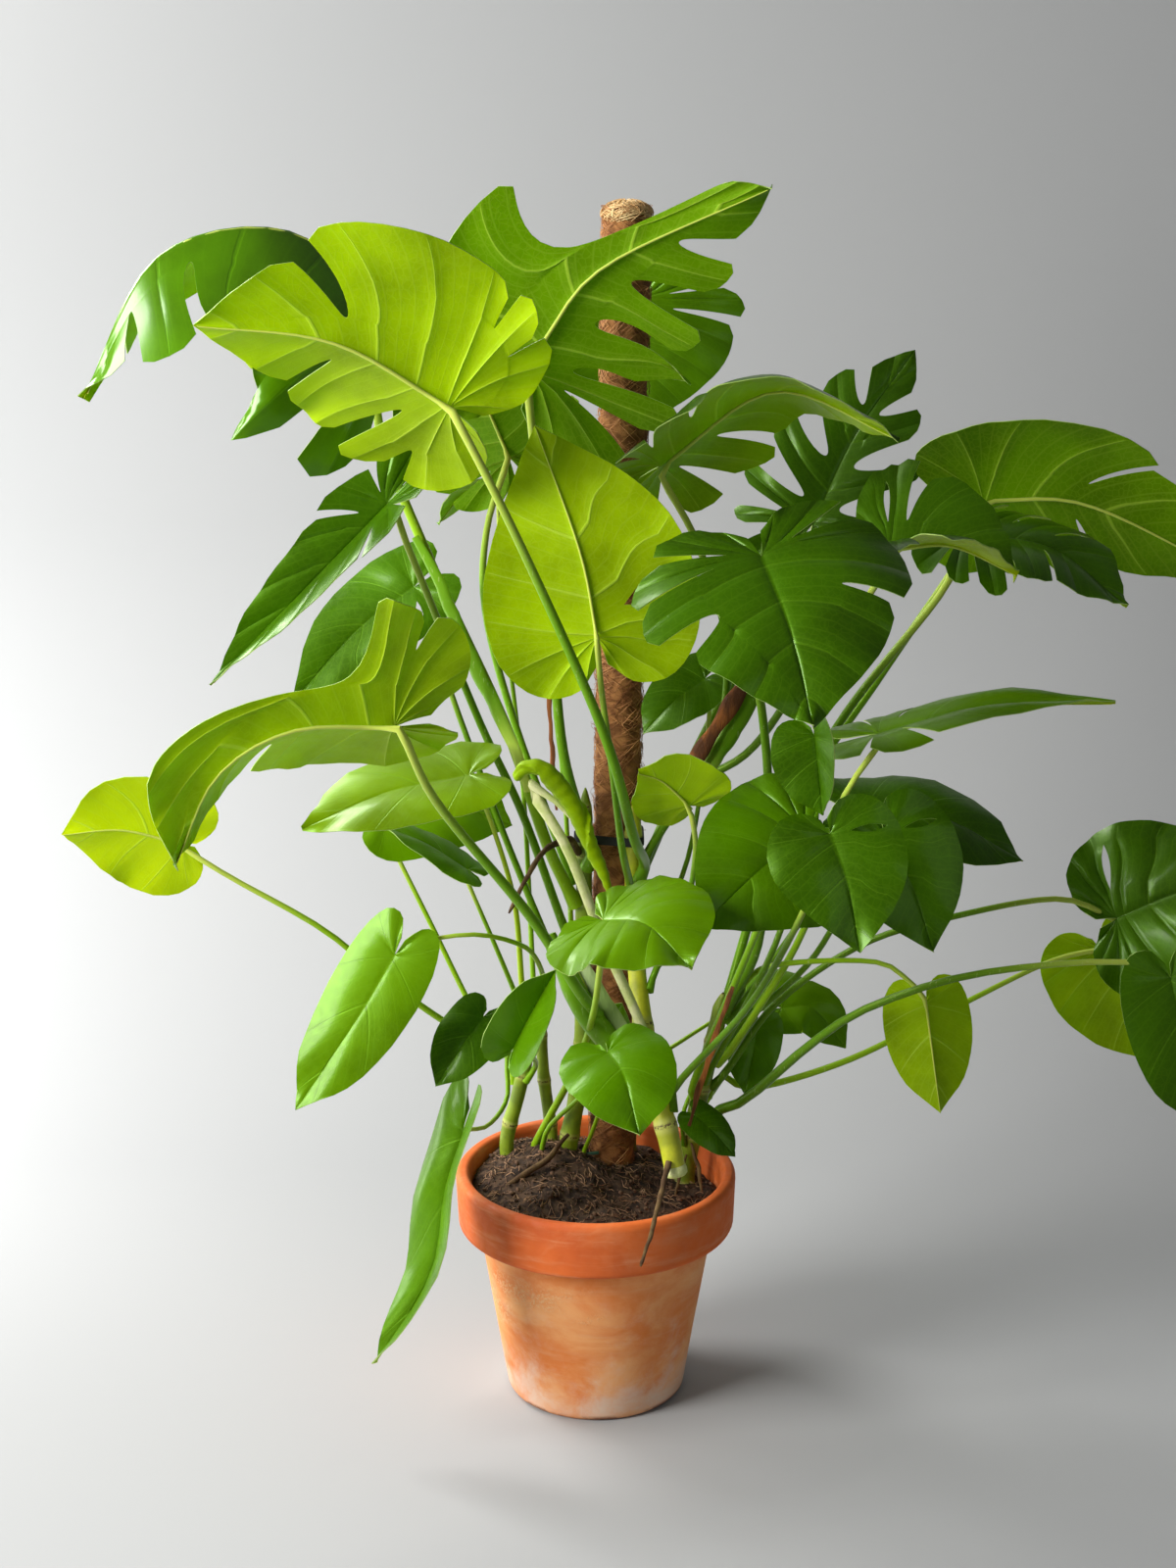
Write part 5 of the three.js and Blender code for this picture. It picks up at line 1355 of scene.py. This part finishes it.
def wound_fibre():
    """The way of a fibre wound slantwise round the pole."""
    z = random.uniform(COIR_FROM + 4, COIR_TO - 4)
    angle = random.uniform(0, TURN)
    hand = random.choice((-1, 1))
    slope = random.uniform(0.05, 0.9)
    length = random.uniform(20, 60)
    out = COIR_RADIUS - 0.6 + random.uniform(-0.6, 1.3)
    points = []
    for f in FIBRE_STEPS:
        rise = length * (f - 0.5)
        wiggle = random.uniform(-0.05, 0.05)
        height = min(max(z + rise * slope, COIR_FROM), COIR_TO - 1)
        turn = 0.8 * hand * abs(rise) / COIR_RADIUS + wiggle
        points.append(pole_frame(height, out + random.uniform(-0.5, 0.7), angle + turn))
    return points


def loose_hair():
    """The way of a hair that stands off the pole."""
    z = random.uniform(COIR_FROM + 40, COIR_TO - 6)
    angle = random.uniform(0, TURN)
    reach = random.uniform(2, 7)
    drift = random.uniform(-0.8, 0.8)
    rise = random.uniform(-12, 12)
    return [
        pole_frame(z + rise * f, COIR_RADIUS - 2 + reach * math.sin(2.4 * f), angle + drift * f)
        for f in HAIR_STEPS
    ]


def straw_fibre():
    """The way of a fibre that lies over the pole's rounded end."""
    angle = random.uniform(0, TURN)
    first = random.uniform(-0.6, 0.7)
    lift = random.uniform(0.4, 1.0)
    turn = random.uniform(-1.6, 1.6)
    out = random.uniform(-1.5, 1.2)
    slopes = [min(first + lift * f, 1.5) for f in HAIR_STEPS]
    return [
        pole_frame(COIR_TO - 9 + (STRAW_DOME + out) * math.sin(slope),
                   (COIR_RADIUS + out) * math.cos(slope), angle + turn * f)
        for f, slope in zip(HAIR_STEPS, slopes)
    ]


def make_coir():
    """The coir wrap: a rough felt core, wound fibres, loose hairs and a straw-coloured end."""
    random.seed(COIR_SEED)
    looks = make_materials()
    heights = np.linspace(COIR_FROM, COIR_TO, 130)
    way = np.array([(*pole_at(z), z) for z in heights])
    radii = np.array([COIR_RADIUS - 1.6 + 1.2 * noise.noise(Vector((0, 0, z / 22))) for z in heights])
    radii[-2:] *= (0.93, 0.5)
    core = paint(tube("coir_core", way, radii, 40), "coir")
    for vertex in core.data.vertices:
        x, y = pole_at(vertex.co.z / MM)
        out = Vector((vertex.co.x - x * MM, vertex.co.y - y * MM, 0))
        if out.length > 0.01:
            vertex.co += out.normalized() * noise.fractal(vertex.co * 90, 0.7, 2.0, 3) * 1.1 * MM
    fibres = coir_strands("coir_fibres", "coir_fibre", looks.coir_fibres, COIR_FIBRE, wound_fibre)
    hairs = coir_strands("coir_hairs", "coir_fibre", looks.coir_hairs, COIR_HAIR, loose_hair)
    ends = coir_strands("coir_ends", "coir_straw", STRAW_FIBRES, STRAW_FIBRE, straw_fibre)
    settle(join([core, fibres, hairs, ends], "coir_pole"), "coir", "coir_wrap", angle=70)


def make_stake():
    """The stake inside the pole, pointed at its foot."""
    low, high = [corner[2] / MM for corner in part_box("pole_stake")]
    heights = np.array([low, low + 10, low + 25, *np.linspace(low + 60, high, 8)])
    way = np.array([(*pole_at(z), z) for z in heights])
    radii = np.where(heights < low + 20, STAKE_TAPER, STAKE_RADIUS)
    radii[0] = STAKE_TIP
    settle(paint(tube("stake", way, radii, 14), "stake"), "stake", "pole_stake", angle=50)


def make_tie(index):
    """A woven strap drawn tight round the pole and the stems beside it."""
    height = TIE_HEIGHTS[index]
    px, py = pole_at(height)
    circles = [(px, py, COIR_RADIUS + TIE_OFF_POLE)]
    for name in ("climbing_stem", "front_shoot"):
        centre, _, radius = on_stem(name, height + TIE_WIDTH / 2)
        if math.hypot(centre[0] - px, centre[1] - py) < 2 * COIR_RADIUS:
            circles.append((centre[0], centre[1], radius + TIE_OFF_STEM))
    corners, sides, squareness = 12, 96, 0.4
    points = np.zeros((corners + 1, sides + 1, 3))
    for i in range(sides + 1):
        angle = TURN * (i % sides) / sides
        x, y, reach = max(circles, key=lambda c: c[0] * math.cos(angle) + c[1] * math.sin(angle) + c[2])
        for k in range(corners + 1):
            out, up = [
                (1 + math.copysign(abs(value) ** squareness, value)) * size / 2
                for value, size in zip(ring_point(1, TURN * k / corners), (TIE_THICKNESS, TIE_WIDTH))
            ]
            points[k, i] = np.array([x, y, height + up]) + ring_point(reach + out, angle)
    piece = paint(close_up(lay_grid(f"tie_strap_{index + 1}", points)), "strap")
    settle(piece, "strap", f"tie_{index + 1}", angle=50)


# Shoots, roots and husks

def make_stem(name):
    """A shoot with swollen rings at its nodes."""
    stem = STEMS[name]
    steps = 130
    way, length = walk(stem["axis"], steps)
    share = np.linspace(0, 1, steps + 1)
    nodes = share * length / (stem["spacing"] * stem["radius"])
    ring = np.abs(nodes - np.floor(nodes) - 0.5)
    radii = taper(stem["radius"], stem["end"], share)
    swell = RING_SWELL * np.exp(-((ring / RING_WIDTH) ** 2))
    radii = radii * (1 - WAIST + swell - WAIST * np.cos(2 * np.pi * nodes))
    radii[:2] *= (0.72, 0.94)
    radii = radii * np.clip((1.0 - share) / 0.07, 0.02, 1) ** 0.6
    piece = paint(tube(name + "_shoot", way, radii, 20, shares=nodes), "stem")
    for vertex in piece.data.vertices:
        vertex.co += Vector(noise.noise_vector(vertex.co * 60)) * BARK_RELIEF * MM
    slot, tint = STEM_FINISHES[stem["tone"]]
    dye(piece, tint)
    settle(piece, slot, name)


def wavy(way, fineness, swing):
    """A way with a slow wander, by as many mm as the swing says."""
    return way + np.array([noise.noise_vector(Vector(p) / fineness) for p in way]) * swing


def make_root(name):
    """An aerial root, wavy, thickened here and there, rounded at its tip."""
    root = ROOTS[name]
    seat, _ = seat_on(root["from"], root["radius"])
    steps = 60
    way, length = walk([seat, *root["way"]], steps)
    share = np.linspace(0, 1, steps + 1)
    radii = taper(root["radius"], root["end"], share)
    radii = radii * (1 + 0.12 * np.sin(share * length / 7) * np.sin(share * length / 3.1))
    radii[-3:] *= (0.95, 0.8, 0.5)
    way = wavy(way, 14, (1.2 * np.sin(np.pi * share))[:, None])
    settle(paint(tube(name + "_bark", way, radii, 12), "root"), "root", name)


def make_small_part(name):
    """A dry strip or a rootlet."""
    finish, points, radius, flat, slot = SMALL_PARTS[name]
    steps = 26
    way, _ = walk(points, steps)
    share = np.linspace(0, 1, steps + 1)
    crumple = 0.2 * np.sin(19 * share) if finish == "husk" else 0
    radii = radius * (0.55 + 0.45 * np.sin(np.pi * share) + crumple)
    piece = paint(tube(name, wavy(way, 16, 1.6), radii, 12, flat), finish)
    dye(piece, (0.75, 0.85, 0.8))
    settle(piece, slot)


def make_cut_end():
    """The pale healed cut at the foot of the front shoot."""
    foot, above = np.array(STEMS["front_shoot"]["axis"][:2], float)
    along = unit(above - foot)
    way = np.array([foot + along * distance for distance, _ in CUT_END])
    radii = np.array([radius for _, radius in CUT_END])
    settle(paint(tube("cut_end", way, radii, 20), "cut"), "shoot_fresh")


# Stage, in metres

COVE_RADIUS = 0.7
COVE_BACK = 1.25
COVE_FRONT = -3.2
COVE_HALF_WIDTH = 4.5
COVE_TOP = 3.6
CAMERA_PLACE = (-0.008, -2.3, 1.245)
CAMERA_TILT = 75.15
CAMERA_LENS = 56.475
SURROUND_COLOUR = (0.93, 0.96, 1.0, 1.0)

# Lights: place, the point they look at, size, share of the key light's power and colour
LIGHTS = {
    "key_light": ((-2.1, -1.2, 1.7), (0.0, -0.1, 0.6), 1.4, 1.0, (1.0, 0.99, 0.97)),
    "fill_light": ((1.6, -2.6, 1.7), (0.0, 0.0, 0.6), 1.8, 0.05, (0.95, 0.97, 1.0)),
    "back_light": ((-1.5, 0.95, 2.1), (-0.2, -1.6, 0.6), 1.0, 0.5, (1.0, 0.99, 0.97)),
    "wall_light": ((-1.35, 0.45, 0.45), (-0.4, 1.25, 0.3), 0.8, 0.09, (1.0, 1.0, 1.0)),
}


def make_cove():
    """A plain pale floor that turns up into a wall behind the plant."""
    arc = [ring_point(COVE_RADIUS, TURN / 4 * (k / 16 - 1)) for k in range(17)]
    bend = [(COVE_BACK - COVE_RADIUS + y, COVE_RADIUS + z) for y, z, _ in arc]
    profile = [(COVE_FRONT, 0.0), *bend, (COVE_BACK, COVE_TOP)]
    points = np.array([[(-COVE_HALF_WIDTH, y, z), (COVE_HALF_WIDTH, y, z)] for y, z in profile])
    piece = paint(lay_grid("cove", points / MM), "ground")
    if piece.data.polygons[0].normal.z < 0:
        piece.data.flip_normals()
    piece.data.shade_smooth()


def make_lights(looks):
    """A broad key light on the left, a weak fill, two lights from behind and a pale surround."""
    for name, (place, aim, size, share, colour) in LIGHTS.items():
        bpy.ops.object.light_add(type="AREA", location=place)
        light = rename(bpy.context.object, name)
        light.data.size = size
        light.data.energy = looks.key_power * share
        light.data.color = colour
        light.rotation_euler = (Vector(aim) - Vector(place)).to_track_quat("-Z", "Y").to_euler()
    world = bpy.data.worlds.new("pale_surround")
    world.use_nodes = True
    surround = world.node_tree.nodes["Background"].inputs
    surround["Color"].default_value = SURROUND_COLOUR
    surround["Strength"].default_value = looks.surround
    bpy.context.scene.world = world


def make_camera():
    """The camera, level with the top of the plant and tipped down a little."""
    bpy.ops.object.camera_add(location=CAMERA_PLACE, rotation=(math.radians(CAMERA_TILT), 0, 0))
    camera = bpy.context.object
    camera.name = "camera"
    camera.data.lens = CAMERA_LENS
    bpy.context.scene.camera = camera
    bpy.context.scene.view_settings.view_transform = "Standard"


# Add-on

class PlantLooks(bpy.types.PropertyGroup):
    """What can be changed about the plant's finish and its stage."""

    upper_colour: FloatVectorProperty(
        name="Upper side", description="Colour of the leaves' upper side as a picture shows it",
        subtype="COLOR_GAMMA", size=3, min=0, max=1, default=(0.3, 0.46, 0.0))
    under_colour: FloatVectorProperty(
        name="Underside", description="Colour of the leaves' underside as a picture shows it",
        subtype="COLOR_GAMMA", size=3, min=0, max=1, default=(0.6, 0.72, 0.0))
    stalk_colour: FloatVectorProperty(
        name="Stalks", description="Colour of the stalks as a picture shows it",
        subtype="COLOR_GAMMA", size=3, min=0, max=1, default=(0.43, 0.6, 0.09))
    rib_colour: FloatVectorProperty(
        name="Main ribs", description="Colour of the stalk tops and main ribs as a picture shows it",
        subtype="COLOR_GAMMA", size=3, min=0, max=1, default=(0.74, 0.8, 0.34))
    clay_colour: FloatVectorProperty(
        name="Clay", description="Colour of the pot as a picture shows it",
        subtype="COLOR_GAMMA", size=3, min=0, max=1, default=(0.86, 0.42, 0.17))
    crumbs: IntProperty(
        name="Crumbs", description="Number of loose crumbs on the soil", default=1300, min=0, max=2000)
    soil_fibres: IntProperty(
        name="Peat fibres", description="Number of fibres on the soil", default=650, min=0, max=1000)
    coir_fibres: IntProperty(
        name="Coir fibres", description="Number of fibres wound round the pole",
        default=2300, min=0, max=3000)
    coir_hairs: IntProperty(
        name="Coir hairs", description="Number of loose hairs on the pole", default=320, min=0, max=1000)
    key_power: FloatProperty(
        name="Key light", description="Power of the key light", subtype="POWER", unit="POWER",
        default=120.0, min=0.0, max=2000.0)
    surround: FloatProperty(
        name="Surround", description="Strength of the light from all round", default=0.11, min=0.0, max=5.0)


class PLANT_OT_pot(bpy.types.Operator):
    """Add the terracotta pot and its soil"""

    bl_idname = "plant.add_pot"
    bl_label = "Add Pot and Soil"

    def execute(self, context):
        make_materials()
        make_pot()
        make_soil()
        return {"FINISHED"}


class PLANT_OT_pole(bpy.types.Operator):
    """Add the coir pole, its stake and its straps"""

    bl_idname = "plant.add_pole"
    bl_label = "Add Coir Pole"

    def execute(self, context):
        make_materials()
        make_stake()
        make_coir()
        for index in range(len(TIE_HEIGHTS)):
            make_tie(index)
        return {"FINISHED"}


class PLANT_OT_shoots(bpy.types.Operator):
    """Add the shoots, aerial roots and dry husks"""

    bl_idname = "plant.add_shoots"
    bl_label = "Add Shoots and Roots"

    def execute(self, context):
        make_materials()
        noise.seed_set(NOISE_SEED)
        for name in STEMS:
            make_stem(name)
        for name in ROOTS:
            make_root(name)
        for name in SMALL_PARTS:
            make_small_part(name)
        make_cut_end()
        return {"FINISHED"}


class PLANT_OT_leaves(bpy.types.Operator):
    """Add all the leaves on their stalks"""

    bl_idname = "plant.add_leaves"
    bl_label = "Add Leaves"

    def execute(self, context):
        make_materials()
        for key in LEAVES:
            make_leaf(key)
        return {"FINISHED"}


class PLANT_OT_stage(bpy.types.Operator):
    """Add the floor, the lights and the camera"""

    bl_idname = "plant.add_stage"
    bl_label = "Add Stage"

    def execute(self, context):
        looks = make_materials()
        make_cove()
        make_lights(looks)
        make_camera()
        return {"FINISHED"}


class PLANT_PT_panel(bpy.types.Panel):
    """The plant's settings and pieces in the sidebar"""

    bl_label = "Potted Swiss Cheese Plant"
    bl_idname = "PLANT_PT_panel"
    bl_space_type = "VIEW_3D"
    bl_region_type = "UI"
    bl_category = "Plant"

    def draw(self, context):
        looks = context.scene.plant_looks
        for key in PlantLooks.__annotations__:
            self.layout.prop(looks, key)
        for operator in OPERATORS:
            self.layout.operator(operator.bl_idname)


OPERATORS = (PLANT_OT_pot, PLANT_OT_pole, PLANT_OT_shoots, PLANT_OT_leaves, PLANT_OT_stage)
CLASSES = (PlantLooks, *OPERATORS, PLANT_PT_panel)


def register():
    """Registers the add-on's classes and settings."""
    for cls in CLASSES:
        bpy.utils.register_class(cls)
    bpy.types.Scene.plant_looks = PointerProperty(type=PlantLooks)


def unregister():
    """Removes the add-on's classes and settings."""
    del bpy.types.Scene.plant_looks
    for cls in reversed(CLASSES):
        bpy.utils.unregister_class(cls)


def main():
    """Dresses the frame piece by piece."""
    register()
    bpy.ops.plant.add_pot()
    bpy.ops.plant.add_pole()
    bpy.ops.plant.add_shoots()
    bpy.ops.plant.add_leaves()
    bpy.ops.plant.add_stage()


if __name__ == "__main__":
    main()
